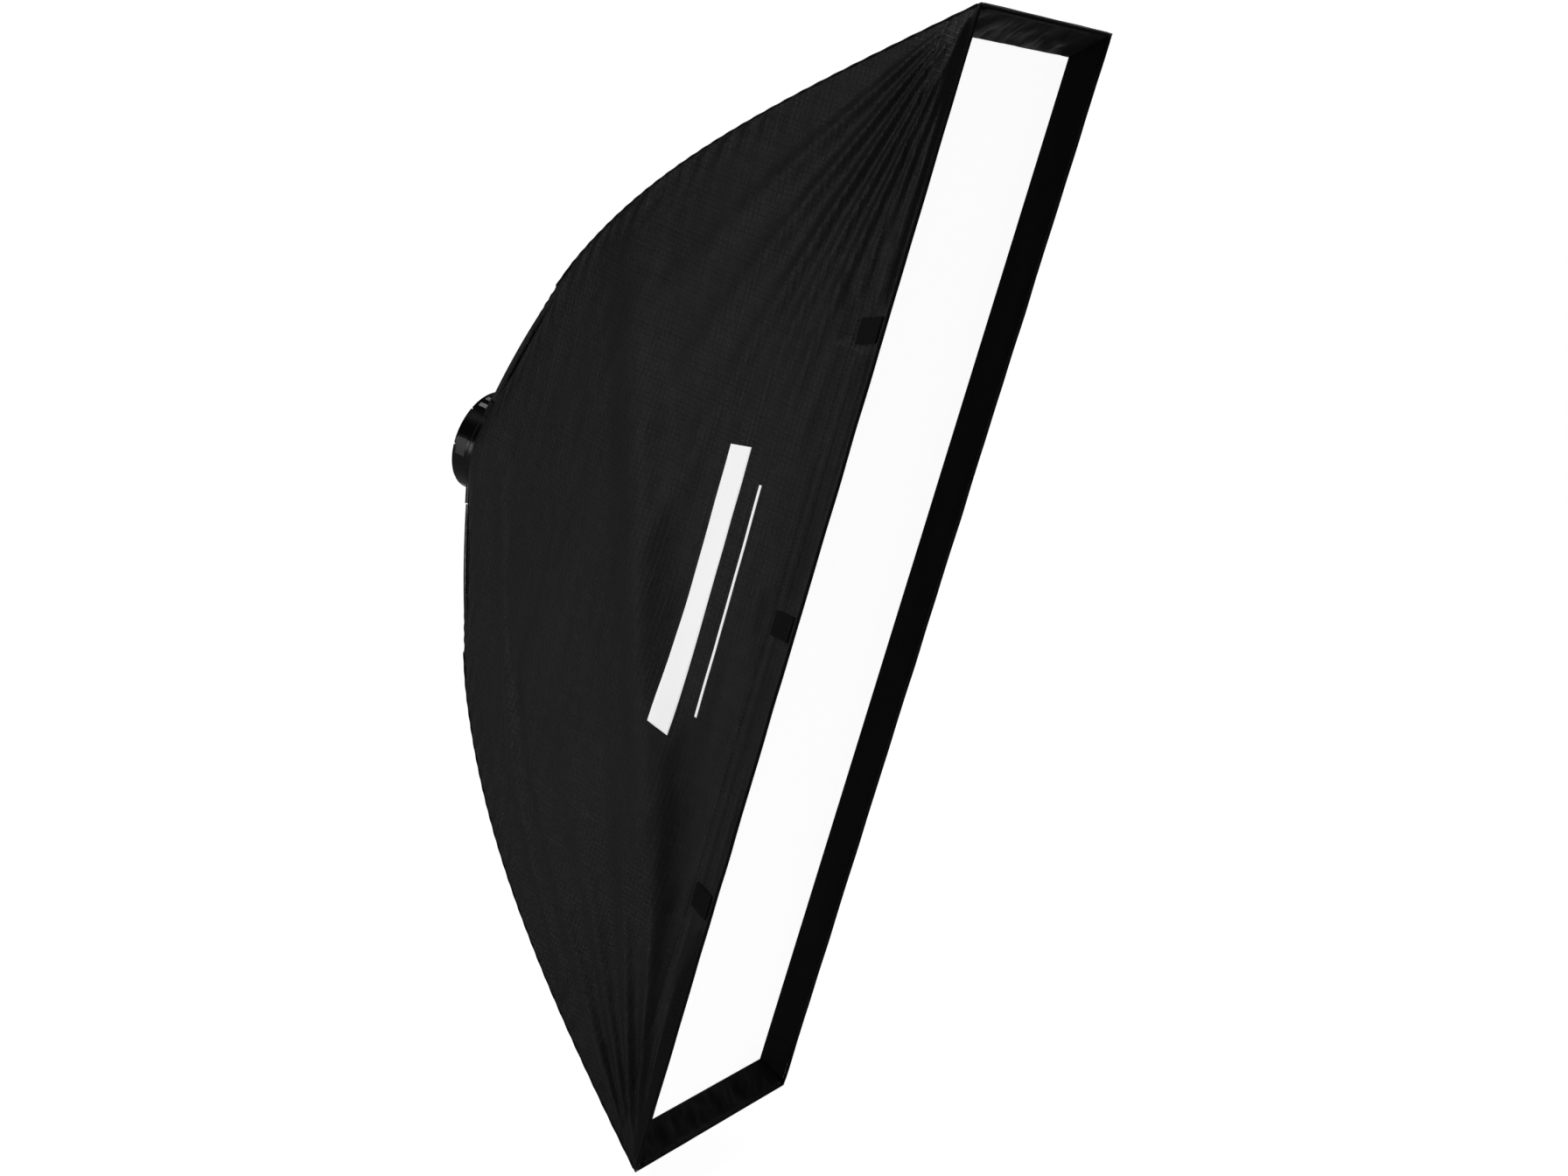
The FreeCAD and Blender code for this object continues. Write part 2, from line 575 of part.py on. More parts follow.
def make_rod_ring():
    """Turning ring with a boss at each corner, drilled for the end of a rod."""
    body = doc.addObject("PartDesign::Body", "rod_ring_blank")
    inner = "sizes.sleeve_outer + sizes.running_gap"
    chamfer = "sizes.flange_chamfer"
    revolve(body, (
        (inner, "-sizes.rod_ring_y"), ("sizes.flange_radius - " + chamfer, "-sizes.rod_ring_y"),
        ("sizes.flange_radius", "-sizes.rod_ring_y - " + chamfer),
        ("sizes.flange_radius", "-sizes.flange_end"), ("sizes.rod_ring_radius", "-sizes.flange_end"),
        ("sizes.rod_ring_radius", "-sizes.rod_ring_end"), (inner, "-sizes.rod_ring_end")))
    bosses, bores = [], []
    for name, right, up in CORNERS:
        mirror = Vector(right, 1, up)
        outward = Vector(-ROD_INWARD.x * mirror.x, -ROD_INWARD.y, -ROD_INWARD.z * mirror.z)
        end = Vector(ROD_END.x * mirror.x, ROD_END.y, ROD_END.z * mirror.z)
        turn = Rotation(UP, outward)
        boss = doc.addObject("Part::Cylinder", "boss_" + name)
        boss.setExpression("Radius", "sizes.boss_radius")
        boss.setExpression("Height", "sizes.rod_straight + sizes.boss_root")
        boss.Placement = Placement(end - outward * size("boss_root"), turn)
        bosses.append(boss)
        bore = doc.addObject("Part::Cylinder", "bore_" + name)
        bore.setExpression("Radius", "sizes.rod_radius + sizes.rod_fit")
        bore.setExpression("Height", "2 * sizes.rod_straight")
        bore.Placement = Placement(end - outward * size("layer_gap"), turn)
        bores.append(bore)
    clearance = doc.addObject("Part::Cylinder", "sleeve_clearance")
    clearance.setExpression("Radius", inner)
    clearance.setExpression("Height", "2 * sizes.sleeve_length")
    clearance.Placement = Placement(Vector(), Rotation(UP, -BACK))
    solid = doc.addObject("Part::MultiFuse", "rod_ring_solid")
    solid.Shapes = [body] + bosses
    tools = doc.addObject("Part::MultiFuse", "rod_ring_tools")
    tools.Shapes = bores + [clearance]
    node = doc.addObject("Part::Cut", "rod_ring")
    node.Base, node.Tool = solid, tools
    node.Label = "rod_ring"
    doc.recompute()
    NODES.append(node)


def make_ring_cuff():
    """Webbing round the rod ring that the fabric is sewn to, open at the bosses."""
    start = Vector(0, -size("cuff_y"), 0)
    width = size("cuff_width")
    ring = Part.makeCylinder(size("cuff_outer"), width, start, -BACK)
    ring = ring.cut(Part.makeCylinder(size("cuff_inner"), width, start, -BACK))
    behind = ROD_END + ROD_INWARD * size("rod_straight")
    opening = Part.makeCylinder(size("cuff_opening"), 4 * size("rod_straight"), behind, -ROD_INWARD)
    for _, right, up in CORNERS:
        ring = ring.cut(to_quarter(opening, right, up))
    pieces = [piece for piece in ring.Solids if piece.Volume > size("smallest_cuff_piece")]
    feature_node("ring_cuff", Part.makeCompound(pieces))


# ---------------------------------------------------------------- fabric

def side_point(position, across):
    """Outer face of the right side panel; across runs from -1 at the lower rod to 1 at the upper."""
    edge = corner(position)
    to_ring = smooth_step(size("to_ring_start"), 1.0, position)
    beside_bare_rod = (smooth_step(size("bare_rod_start"), size("bare_rod_full"), position)
                       * (1 - smooth_step(size("bare_rod_fade"), 1.0, position)))
    half_height = (edge.z + (size("ring_fabric_half_height") - size("curve_end_z")) * to_ring
                   - size("bare_rod_gap") * beside_bare_rod)
    round_ring = math.sqrt(size("ring_fabric_radius") ** 2
                           - (size("ring_fabric_half_height") * across) ** 2) - size("curve_end_x")
    x = edge.x + round_ring * smooth_step(size("round_start"), 1.0, position) ** 2
    y = edge.y + (size("ring_fabric_y") - size("curve_end_y")) * to_ring
    return Vector(x, y, half_height * across)


def end_point(position, across):
    """Outer face of the upper end panel; across runs from -1 at the left to 1 at the right."""
    edge = corner(position)
    inset = size("fabric_thickness") + 5 * size("layer_gap")
    return Vector((edge.x - inset) * across, edge.y, edge.z)


def flap_point(position, across):
    """Outer face of the upper access flap, between the bare rods, down to the ring."""
    edge = corner(position)
    to_ring = smooth_step(size("flap_to_ring_start"), 1.0, position)
    half_width = edge.x - size("flap_side_gap") - size("flap_taper") * to_ring
    x = half_width * across
    end_half_width = size("curve_end_x") - size("flap_side_gap") - size("flap_taper")
    round_ring = (math.sqrt(size("ring_fabric_radius") ** 2 - (end_half_width * across) ** 2)
                  - size("curve_end_z"))
    y = edge.y + (size("ring_fabric_y") - size("curve_end_y")) * to_ring
    return Vector(x, y, edge.z + round_ring * to_ring ** 2)


def outward_normal(surface, position, across):
    """Unit normal of a fabric surface, away from the middle of the box."""
    step = 1e-4
    along = surface(position + step, across) - surface(position - step, across)
    over = surface(position, across + step) - surface(position, across - step)
    normal = along.cross(over)
    normal.normalize()
    outward = surface(position, across) - Vector(0, -0.8 * size("box_depth"), 0)
    return normal if normal.dot(outward) > 0 else -normal


def layer(surface, positions, acrosses, depth, thickness):
    """A thin solid that follows a fabric surface, depth below its outer face."""
    faces = []
    for below in (depth, depth + thickness):
        grid = [[surface(p, a) - outward_normal(surface, p, a) * below for a in acrosses]
                for p in positions]
        skin = Part.BSplineSurface()
        skin.interpolate(grid)
        faces.append(skin.toShape())
    rims = [Part.makeRuledSurface(upper, lower) for upper, lower in zip(faces[0].Edges, faces[1].Edges)]
    shell = Part.makeShell(faces + rims)
    shell.sewShape()
    solid = Part.makeSolid(shell.Shells[0] if shell.Shells else shell)
    if solid.Volume < 0:
        solid.reverse()
    return solid


def make_panels():
    """The four fabric panels and the two flaps at the ring."""
    cloth = size("fabric_thickness")
    side = layer(side_point, spread(0.0, 1.0, 19), spread(-1.0, 1.0, 13), 0.0, cloth)
    feature_node("side_panel_right", side)
    feature_node("side_panel_left", side.mirror(Vector(), RIGHT))
    end = layer(end_point, spread(0.0, size("panel_end"), 15), spread(-1.0, 1.0, 3), 0.0, cloth)
    feature_node("end_panel_upper", end)
    feature_node("end_panel_lower", end.mirror(Vector(), UP))
    flap = layer(flap_point, spread(size("flap_start"), 1.0, 9), spread(-1.0, 1.0, 7), 0.0, cloth)
    feature_node("access_flap_upper", flap)
    feature_node("access_flap_lower", flap.mirror(Vector(), UP))


def make_lip_tapes():
    """Hook tape inside the lip, and the diffuser's loop tape against it."""
    cloth, tape, gap = size("fabric_thickness"), size("tape_thickness"), size("layer_gap")
    start = size("tape_setback") / curve_speed(0.0)
    positions = spread(start, start + size("tab_size") / curve_speed(0.0), 4)
    hook = cloth + gap
    loop = hook + tape + gap
    loops = []
    for surface, reach, axis, far, near in (
            (side_point, size("side_tape_reach"), RIGHT, "left", "right"),
            (end_point, size("end_tape_reach"), UP, "lower", "upper")):
        strip = layer(surface, positions, spread(-reach, reach, 9), hook, tape)
        feature_node("hook_tape_" + near, strip)
        feature_node("hook_tape_" + far, strip.mirror(Vector(), axis))
        reach *= size("loop_share")
        strip = layer(surface, positions, spread(-reach, reach, 9), loop, tape)
        loops += [strip, strip.mirror(Vector(), axis)]
    feature_node("loop_tapes", Part.makeCompound(loops))


def make_grid_tabs():
    """Square hook-and-loop tabs just behind the lip, for a fabric grid."""
    start = size("tab_setback") / curve_speed(0.0)
    positions = spread(start, start + size("tab_size") / curve_speed(0.0), 3)
    raised = -(size("tab_thickness") + size("layer_gap"))

    def tab(surface, middle, half_length):
        half = size("tab_size") / 2
        acrosses = spread((middle - half) / half_length, (middle + half) / half_length, 3)
        return layer(surface, positions, acrosses, raised, size("tab_thickness"))
    spacing = size("tab_spacing")
    tabs = [tab(side_point, middle, size("lip_half_height")) for middle in (-spacing, 0.0, spacing)]
    feature_node("grid_tabs_right", Part.makeCompound(tabs))
    feature_node("grid_tabs_left", Part.makeCompound([item.mirror(Vector(), RIGHT) for item in tabs]))
    single = tab(end_point, 0.0, size("lip_half_width"))
    feature_node("grid_tab_upper", single)
    feature_node("grid_tab_lower", single.mirror(Vector(), UP))


# ---------------------------------------------------------------- diffusers

def centred_rectangle(half_width, half_height):
    return rectangle("-(%s)" % half_width, half_width, "-(%s)" % half_height, half_height)


def loft(body, kind, sections):
    """An additive or subtractive loft through rectangles given as (offset, half width, half height)."""
    sketches = []
    for offset, half_width, half_height in sections:
        sketch = new_sketch(body, "XZ_Plane", offset)
        add_outline(sketch, centred_rectangle(half_width, half_height))
        sketches.append(sketch)
    doc.recompute()
    feature = body.newObject("PartDesign::" + kind, body.Name + "_loft")
    feature.Profile = sketches[0]
    feature.Sections = sketches[1:]
    feature.Ruled = True
    body.Tip = feature
    doc.recompute()


def make_diffuser_border():
    """Slanted black frame from the lip in to the white front sheet."""
    body = new_body("diffuser_border")
    front = "-sizes.border_start_y"
    rear = "sizes.box_depth - sizes.diffuser_recess"
    wall = "sizes.border_thickness"
    inner = "sizes.%s - sizes.diffuser_inset"
    start_x = "sizes.lip_half_width - sizes.border_start_inset_x"
    start_z = "sizes.lip_half_height - sizes.border_start_inset_z"
    width, height = inner % "lip_half_width", inner % "lip_half_height"
    loft(body, "AdditiveLoft", ((front, start_x, start_z),
                                (rear, "%s + %s" % (width, wall), "%s + %s" % (height, wall))))
    loft(body, "SubtractiveLoft", ((front, "%s - %s" % (start_x, wall), "%s - %s" % (start_z, wall)),
                                   (rear, width, height)))


def make_front_diffuser():
    """White front sheet, sewn behind the border's inner edge."""
    body = new_body("front_diffuser")
    behind = "sizes.box_depth - sizes.diffuser_recess - sizes.layer_gap - sizes.diffuser_thickness"
    sketch = new_sketch(body, "XZ_Plane", behind)
    reach = "sizes.%s - sizes.diffuser_inset + sizes.diffuser_overlap"
    add_outline(sketch, centred_rectangle(reach % "lip_half_width", reach % "lip_half_height"))
    pad(body, sketch, "sizes.diffuser_thickness")


def make_inner_diffuser():
    """White baffle half way down the box, held by snapped elastic straps."""
    body = new_body("inner_diffuser")
    sketch = new_sketch(body, "XZ_Plane", "-sizes.inner_diffuser_y")
    add_outline(sketch, centred_rectangle("sizes.inner_half_width", "sizes.inner_half_height"))
    pad(body, sketch, "sizes.diffuser_thickness")
    straps, snaps = [], []
    behind = size("inner_diffuser_y") + size("layer_gap")
    low_x = size("inner_half_width") - size("strap_lap")
    for level in (-size("strap_spacing"), 0.0, size("strap_spacing")):
        strap = Part.makeBox(size("strap_end_x") - low_x, size("strap_thickness"), size("strap_width"),
                             Vector(low_x, behind, level - size("strap_width") / 2))
        snap_at = Vector(low_x + size("snap_radius"), behind + size("strap_thickness") + 0.1, level)
        snap = Part.makeCylinder(size("snap_radius"), size("snap_height"), snap_at, BACK)
        straps += [strap, strap.mirror(Vector(), RIGHT)]
        snaps += [snap, snap.mirror(Vector(), RIGHT)]
    feature_node("inner_straps", Part.makeCompound(straps))
    feature_node("strap_snaps", Part.makeCompound(snaps))


def check_document():
    """Stop if any object failed or any sub-part is missing, empty or not valid."""
    doc.recompute()
    for item in doc.Objects:
        if "Invalid" in item.State or "Error" in item.State:
            raise RuntimeError("%s failed: %s" % (item.Label, item.State))
    for node in NODES:
        if node.Shape.isNull() or not node.Shape.isValid() or not node.Shape.Solids:
            raise RuntimeError("%s has no valid shape" % node.Label)


for make in (make_mount_sleeve, make_bore_liner, make_clamp_band, make_grip_pad, make_index_marks,
             make_tie_bolt, make_washers, make_lever_pin, make_clamp_lever, make_thumb_nut,
             make_friction_ring, make_retaining_ring, make_rod_ring, make_ring_cuff, make_rods,
             make_panels, make_lip_tapes, make_grid_tabs, make_diffuser_border, make_front_diffuser,
             make_inner_diffuser):
    make()
check_document()
os.makedirs("parts", exist_ok=True)
for node in NODES:
    node.Shape.exportStep("parts/%s.step" % node.Label)
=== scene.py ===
"""Looks for the strip softbox: fabric panels with tension folds, recessed white front, glossy clamp ring.

Metres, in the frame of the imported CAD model: +Y back towards the flash, +Z along the long side.
"""

import math

import bmesh
import bpy
import numpy as np
from mathutils import Matrix, Vector, noise


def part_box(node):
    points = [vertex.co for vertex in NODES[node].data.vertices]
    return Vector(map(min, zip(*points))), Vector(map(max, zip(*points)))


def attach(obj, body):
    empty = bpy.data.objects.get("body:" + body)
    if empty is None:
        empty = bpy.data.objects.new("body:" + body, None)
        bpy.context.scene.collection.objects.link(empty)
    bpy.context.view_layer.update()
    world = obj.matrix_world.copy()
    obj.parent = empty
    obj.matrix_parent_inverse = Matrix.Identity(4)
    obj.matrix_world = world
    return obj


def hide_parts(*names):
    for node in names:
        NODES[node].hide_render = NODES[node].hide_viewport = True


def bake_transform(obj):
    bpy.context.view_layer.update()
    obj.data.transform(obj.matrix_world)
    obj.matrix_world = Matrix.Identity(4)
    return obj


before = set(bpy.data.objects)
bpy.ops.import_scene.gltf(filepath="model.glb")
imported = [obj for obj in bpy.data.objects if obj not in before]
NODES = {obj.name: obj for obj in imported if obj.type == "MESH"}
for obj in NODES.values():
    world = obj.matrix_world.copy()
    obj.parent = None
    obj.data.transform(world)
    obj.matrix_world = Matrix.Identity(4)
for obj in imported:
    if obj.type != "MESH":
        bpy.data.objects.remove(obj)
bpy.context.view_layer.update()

# ---------------------------------------------------------------- sizes shared with the frame
LIP_LOW, LIP_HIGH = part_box("side_panel_left")[0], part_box("side_panel_right")[1]
HALF_WIDTH, HALF_HEIGHT, LIP_Y = LIP_HIGH[0], LIP_HIGH[2], LIP_LOW[1]
CORNER_CURVE = np.array([(HALF_WIDTH, LIP_Y, HALF_HEIGHT), (0.1397, -0.2418, 0.3964),
                         (0.0760, -0.0990, 0.3043), (0.0477, -0.0208, 0.0448)])
RING_FABRIC_RADIUS = 0.0612
RING_FABRIC_HALF_HEIGHT = 0.034
RING_FABRIC_Y = -0.029
BARE_ROD_GAP = 0.026  # how far the side panel's edge draws back beside a bare rod
FLAP_INSET, FLAP_RING_INSET = 0.010, 0.003
ROD_DEPTH_FRONT, ROD_DEPTH_REAR = 0.0064, 0.0046
CLOTH = 0.0009
SEAM_DEPTH, SEAM_DIP, SEAM_WIDTH = 0.026, 0.0006, 0.0018
TAB_HALF = (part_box("grid_tab_upper")[1][0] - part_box("grid_tab_upper")[0][0]) / 2
TAB_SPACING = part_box("grid_tabs_left")[1][2] - TAB_HALF
CREASE_WIDTH = 0.0035  # narrowest crease, in metres across it
LIP_CORNER_RADIUS = 0.007
WAVE_FACTOR = 20.0  # the wave texture's own factor between its scale and its bands

# Places along the corner curve, which runs from 0 at the lip to 1 by the ring.
FLAP_START, PANEL_END = 0.766, 0.762
SIDE_TO_RING, SIDE_ROUNDS, FLAP_TO_RING = 0.70, 0.58, 0.72  # where the cloth starts to follow the ring
BARE_ROD_START, BARE_ROD_FULL, BARE_ROD_NARROWS = 0.68, 0.80, 0.86
FACING_START, FACING_END = 0.70, 0.985
SLEEVE_START, SLEEVE_END = 0.60, 0.850

CAMERA_AT = Vector((-2.0249, -1.4265, 0.6493))
CAMERA_FORWARD = Vector((0.85649, 0.43340, -0.28034))
CAMERA_ROLL = math.radians(16.3)
CAMERA_LENS = 53.2


# ---------------------------------------------------------------- materials

def new_material(name, color, roughness, **inputs):
    """A material with a Principled shader; returns it with its node tree and that shader."""
    material = bpy.data.materials.new(name)
    material.use_nodes = True
    shader = material.node_tree.nodes["Principled BSDF"]
    shader.inputs["Base Color"].default_value = (*color, 1.0)
    shader.inputs["Roughness"].default_value = roughness
    for key, number in inputs.items():
        shader.inputs[key.replace("_", " ")].default_value = number
    return material, material.node_tree, shader


def add_node(tree, kind, values=None, **links):
    """A node with its input values set and its inputs linked."""
    node = tree.nodes.new(kind)
    for key, number in (values or {}).items():
        if key in node.inputs:
            node.inputs[key].default_value = number
        else:
            setattr(node, key, number)
    for key, source in links.items():
        tree.links.new(source, node.inputs[key.replace("_", " ")])
    return node


def math_node(tree, operation, first, second):
    """The result of one operation on two numbers or sockets."""
    node = tree.nodes.new("ShaderNodeMath")
    node.operation = operation
    for index, source in enumerate((first, second)):
        if isinstance(source, (int, float)):
            node.inputs[index].default_value = source
        else:
            tree.links.new(source, node.inputs[index])
    return node.outputs[0]


def coordinates(tree, kind="Object"):
    """Object coordinates, or the UV map, which is in metres."""
    node = tree.nodes.new("ShaderNodeTexCoord")
    return node.outputs[kind]


def noise_node(tree, vector, scale, detail=4.0, roughness=0.55, stretch=None):
    """Noise from 0 to 1, stretched along the axes if factors are given."""
    if stretch:
        mapping = add_node(tree, "ShaderNodeMapping", {"Scale": stretch}, Vector=vector)
        vector = mapping.outputs[0]
    node = add_node(tree, "ShaderNodeTexNoise", {"Scale": scale, "Detail": detail, "Roughness": roughness},
                    Vector=vector)
    return node.outputs["Fac"]


def ramp(tree, factor, low, high):
    """Map 0..1 onto low..high."""
    node = add_node(tree, "ShaderNodeMapRange", {"To Min": low, "To Max": high}, Value=factor)
    return node.outputs[0]


def tint(tree, factor, dark, light):
    """A colour between dark at 0 and light at 1."""
    node = tree.nodes.new("ShaderNodeMix")
    node.data_type = "RGBA"
    node.inputs[6].default_value = (*dark, 1.0)
    node.inputs[7].default_value = (*light, 1.0)
    tree.links.new(factor, node.inputs[0])
    return node.outputs[2]


def bump(tree, shader, height, strength, distance):
    """Fine relief in the shader's normal; distance is in metres."""
    node = add_node(tree, "ShaderNodeBump", {"Strength": strength, "Distance": distance}, Height=height)
    tree.links.new(node.outputs[0], shader.inputs["Normal"])


def thread_wave(tree, vector, axis, pitch):
    """Threads that run across one axis, pitch metres apart, from 0 to 1."""
    scale = 2 * math.pi / (WAVE_FACTOR * pitch)
    node = add_node(tree, "ShaderNodeTexWave", {"Scale": scale, "Distortion": 0.0, "Detail": 0.0},
                    Vector=vector)
    node.wave_type = "BANDS"
    node.bands_direction = axis
    return node.outputs["Fac"]


def weave_height(tree, vector, thread, ripstop=None):
    """Plain weave, with a thicker thread every ripstop metres if one is given."""
    weave = math_node(tree, "MULTIPLY", thread_wave(tree, vector, "X", thread),
                      thread_wave(tree, vector, "Y", thread))
    if ripstop is None:
        return weave
    grid = math_node(tree, "MAXIMUM", thread_wave(tree, vector, "X", ripstop),
                     thread_wave(tree, vector, "Y", ripstop))
    lines = math_node(tree, "MULTIPLY", math_node(tree, "POWER", grid, 14.0), 1.6)
    return math_node(tree, "ADD", weave, lines)


def shell_material():
    """Black ripstop nylon: fine weave, soft sheen, faint long streaks."""
    material, tree, shader = new_material("shell_ripstop", (0.012, 0.012, 0.013), 0.5)
    uv = coordinates(tree, "UV")
    streaks = noise_node(tree, uv, 60.0, 5.0, 0.6, stretch=(7.0, 0.35, 1.0))
    patches = noise_node(tree, uv, 9.0, 3.0)
    blend = math_node(tree, "MULTIPLY", streaks, patches)
    shade = tint(tree, ramp(tree, blend, 0.0, 2.2), (0.0045, 0.0045, 0.005), (0.0125, 0.0125, 0.0135))
    tree.links.new(shade, shader.inputs["Base Color"])
    tree.links.new(ramp(tree, streaks, 0.28, 0.48), shader.inputs["Roughness"])
    shader.inputs["Sheen Weight"].default_value = 0.05
    shader.inputs["Sheen Roughness"].default_value = 0.4
    shader.inputs["Specular IOR Level"].default_value = 0.38
    height = math_node(tree, "ADD", weave_height(tree, uv, 0.0009, 0.0052),
                       math_node(tree, "MULTIPLY", streaks, 1.4))
    bump(tree, shader, height, 0.35, 0.00035)
    return material


def plain_nylon_material():
    """The shell's black nylon for small gathered pieces that have no UV map."""
    material, tree, shader = new_material("plain_nylon", (0.010, 0.010, 0.011), 0.5)
    where = coordinates(tree)
    threads = noise_node(tree, where, 900.0, 4.0, 0.6)
    tree.links.new(tint(tree, threads, (0.006, 0.006, 0.0065), (0.016, 0.016, 0.017)),
                   shader.inputs["Base Color"])
    shader.inputs["Specular IOR Level"].default_value = 0.36
    bump(tree, shader, threads, 0.4, 0.0004)
    return material


def lining_material():
    """Silver reflective lining with a fine crinkle."""
    material, tree, shader = new_material("silver_lining", (0.72, 0.73, 0.75), 0.32, Metallic=0.85)
    uv = coordinates(tree, "UV")
    crinkle = noise_node(tree, uv, 220.0, 6.0, 0.7)
    tree.links.new(ramp(tree, crinkle, 0.24, 0.46), shader.inputs["Roughness"])
    bump(tree, shader, math_node(tree, "ADD", crinkle, weave_height(tree, uv, 0.0012)), 0.5, 0.0006)
    return material


def border_material():
    """Matt black nylon of the slanted border and the binding."""
    material, tree, shader = new_material("border_nylon", (0.006, 0.006, 0.0065), 0.62)
    where = coordinates(tree)
    mottled = noise_node(tree, where, 38.0, 5.0, 0.6)
    tree.links.new(tint(tree, mottled, (0.0012, 0.0012, 0.0014), (0.0045, 0.0045, 0.005)),
                   shader.inputs["Base Color"])
    tree.links.new(ramp(tree, mottled, 0.50, 0.72), shader.inputs["Roughness"])
    shader.inputs["Specular IOR Level"].default_value = 0.22
    shader.inputs["Sheen Weight"].default_value = 0.015
    fine = noise_node(tree, where, 1400.0, 2.0, 0.5)
    bump(tree, shader, fine, 0.4, 0.0004)
    return material


def tape_material():
    """Hook-and-loop: dense matt pile."""
    material, tree, shader = new_material("hook_loop_pile", (0.004, 0.004, 0.004), 0.95)
    where = coordinates(tree)
    pile = noise_node(tree, where, 1500.0, 6.0, 0.75)
    tree.links.new(tint(tree, pile, (0.0015, 0.0015, 0.0015), (0.009, 0.009, 0.0095)),
                   shader.inputs["Base Color"])
    bump(tree, shader, pile, 1.0, 0.0012)
    return material


def diffusion_material():
    """White diffusion cloth, lit through as when the lamp is on."""
    material, tree, shader = new_material("white_diffusion", (0.97, 0.97, 0.97), 0.7)
    where = coordinates(tree)
    cloudy = noise_node(tree, where, 7.0, 3.0)
    tree.links.new(tint(tree, cloudy, (0.955, 0.957, 0.96), (0.985, 0.985, 0.985)),
                   shader.inputs["Base Color"])
    shader.inputs["Emission Color"].default_value = (1.0, 1.0, 1.0, 1.0)
    shader.inputs["Emission Strength"].default_value = 0.88
    threads = noise_node(tree, where, 1600.0, 3.0, 0.6)
    bump(tree, shader, threads, 0.25, 0.0003)
    return material


def gloss_material():
    """Moulded glossy black of the ring, band and lever, with faint scuffs on the edges."""
    material, tree, shader = new_material("gloss_black", (0.003, 0.003, 0.0033), 0.16)
    where = coordinates(tree)
    scuffs = noise_node(tree, where, 420.0, 8.0, 0.8, stretch=(1.0, 0.15, 1.0))
    tree.links.new(ramp(tree, scuffs, 0.09, 0.27), shader.inputs["Roughness"])
    shader.inputs["Specular IOR Level"].default_value = 0.3
    shader.inputs["Coat Weight"].default_value = 0.15
    shader.inputs["Coat Roughness"].default_value = 0.08
    bump(tree, shader, noise_node(tree, where, 260.0, 3.0), 0.12, 0.0003)
    return material


def simple_material(name, dark, light, roughness, scale, strength, **inputs):
    """A two-tone, finely textured finish."""
    material, tree, shader = new_material(name, light, roughness, **inputs)
    where = coordinates(tree)
    grain = noise_node(tree, where, scale, 6.0, 0.65)
    tree.links.new(tint(tree, grain, dark, light), shader.inputs["Base Color"])
    tree.links.new(ramp(tree, grain, roughness * 0.8, min(1.0, roughness * 1.2)), shader.inputs["Roughness"])
    bump(tree, shader, grain, strength, 0.0004)
    return material


def webbing_material():
    """Ribbed black webbing."""
    material, tree, shader = new_material("ribbed_webbing", (0.01, 0.01, 0.01), 0.75)
    where = coordinates(tree)
    ribs = thread_wave(tree, where, "Z", 0.0016)
    fuzz = noise_node(tree, where, 900.0, 4.0, 0.7)
    tree.links.new(tint(tree, fuzz, (0.005, 0.005, 0.005), (0.018, 0.018, 0.018)),
                   shader.inputs["Base Color"])
    bump(tree, shader, math_node(tree, "ADD", ribs, fuzz), 0.6, 0.0005)
    return material


SHELL, LINING, BORDER, TAPE = shell_material(), lining_material(), border_material(), tape_material()
SHELL_PLAIN = plain_nylon_material()
DIFFUSION, GLOSS, WEBBING = diffusion_material(), gloss_material(), webbing_material()
RUBBER = simple_material("black_rubber", (0.006, 0.006, 0.006), (0.02, 0.02, 0.02), 0.8, 700.0, 0.4)
# Grip pad whose pale grey is a painted reflection, standing in for a lamp's window reflected in the glossy
# band.
GRIP_PAD_PAINTED_REFLECTION = simple_material("grip_pad_painted_reflection", (0.045, 0.046, 0.048), (0.085, 0.086, 0.088), 0.5, 600.0, 0.25)
INLAY = simple_material("pale_inlay", (0.36, 0.36, 0.35), (0.50, 0.50, 0.48), 0.35, 600.0, 0.2)
STEEL = simple_material("brushed_steel", (0.42, 0.42, 0.43), (0.62, 0.62, 0.63), 0.3, 900.0, 0.25,
                        Metallic=1.0)
KNOB = simple_material("knob_plastic", (0.006, 0.006, 0.006), (0.018, 0.018, 0.018), 0.45, 800.0, 0.4)
GRIP = simple_material("rod_grip_gloss", (0.005, 0.005, 0.005), (0.014, 0.014, 0.015), 0.2, 300.0, 0.15,
                       Coat_Weight=0.4)
FIBRE = simple_material("fibreglass", (0.008, 0.008, 0.008), (0.03, 0.03, 0.03), 0.38, 1200.0, 0.3)
ELASTIC = simple_material("white_elastic", (0.66, 0.66, 0.65), (0.86, 0.86, 0.85), 0.85, 1300.0, 0.6)
CHROME = simple_material("snap_chrome", (0.62, 0.62, 0.63), (0.80, 0.80, 0.81), 0.14, 500.0, 0.05,
                         Metallic=1.0)
THREAD = simple_material("seam_thread", (0.012, 0.012, 0.012), (0.035, 0.035, 0.036), 0.6, 2500.0, 0.4)
# White print ink whose emission is a painted glow, lifting it towards white beyond what the lamps give it.
PRINT_WITH_PAINTED_GLOW = simple_material("white_print_painted_glow", (0.80, 0.80, 0.80), (0.90, 0.90, 0.90), 0.5, 1800.0, 0.2,
                        Emission_Color=(1.0, 1.0, 1.0, 1.0), Emission_Strength=0.62)

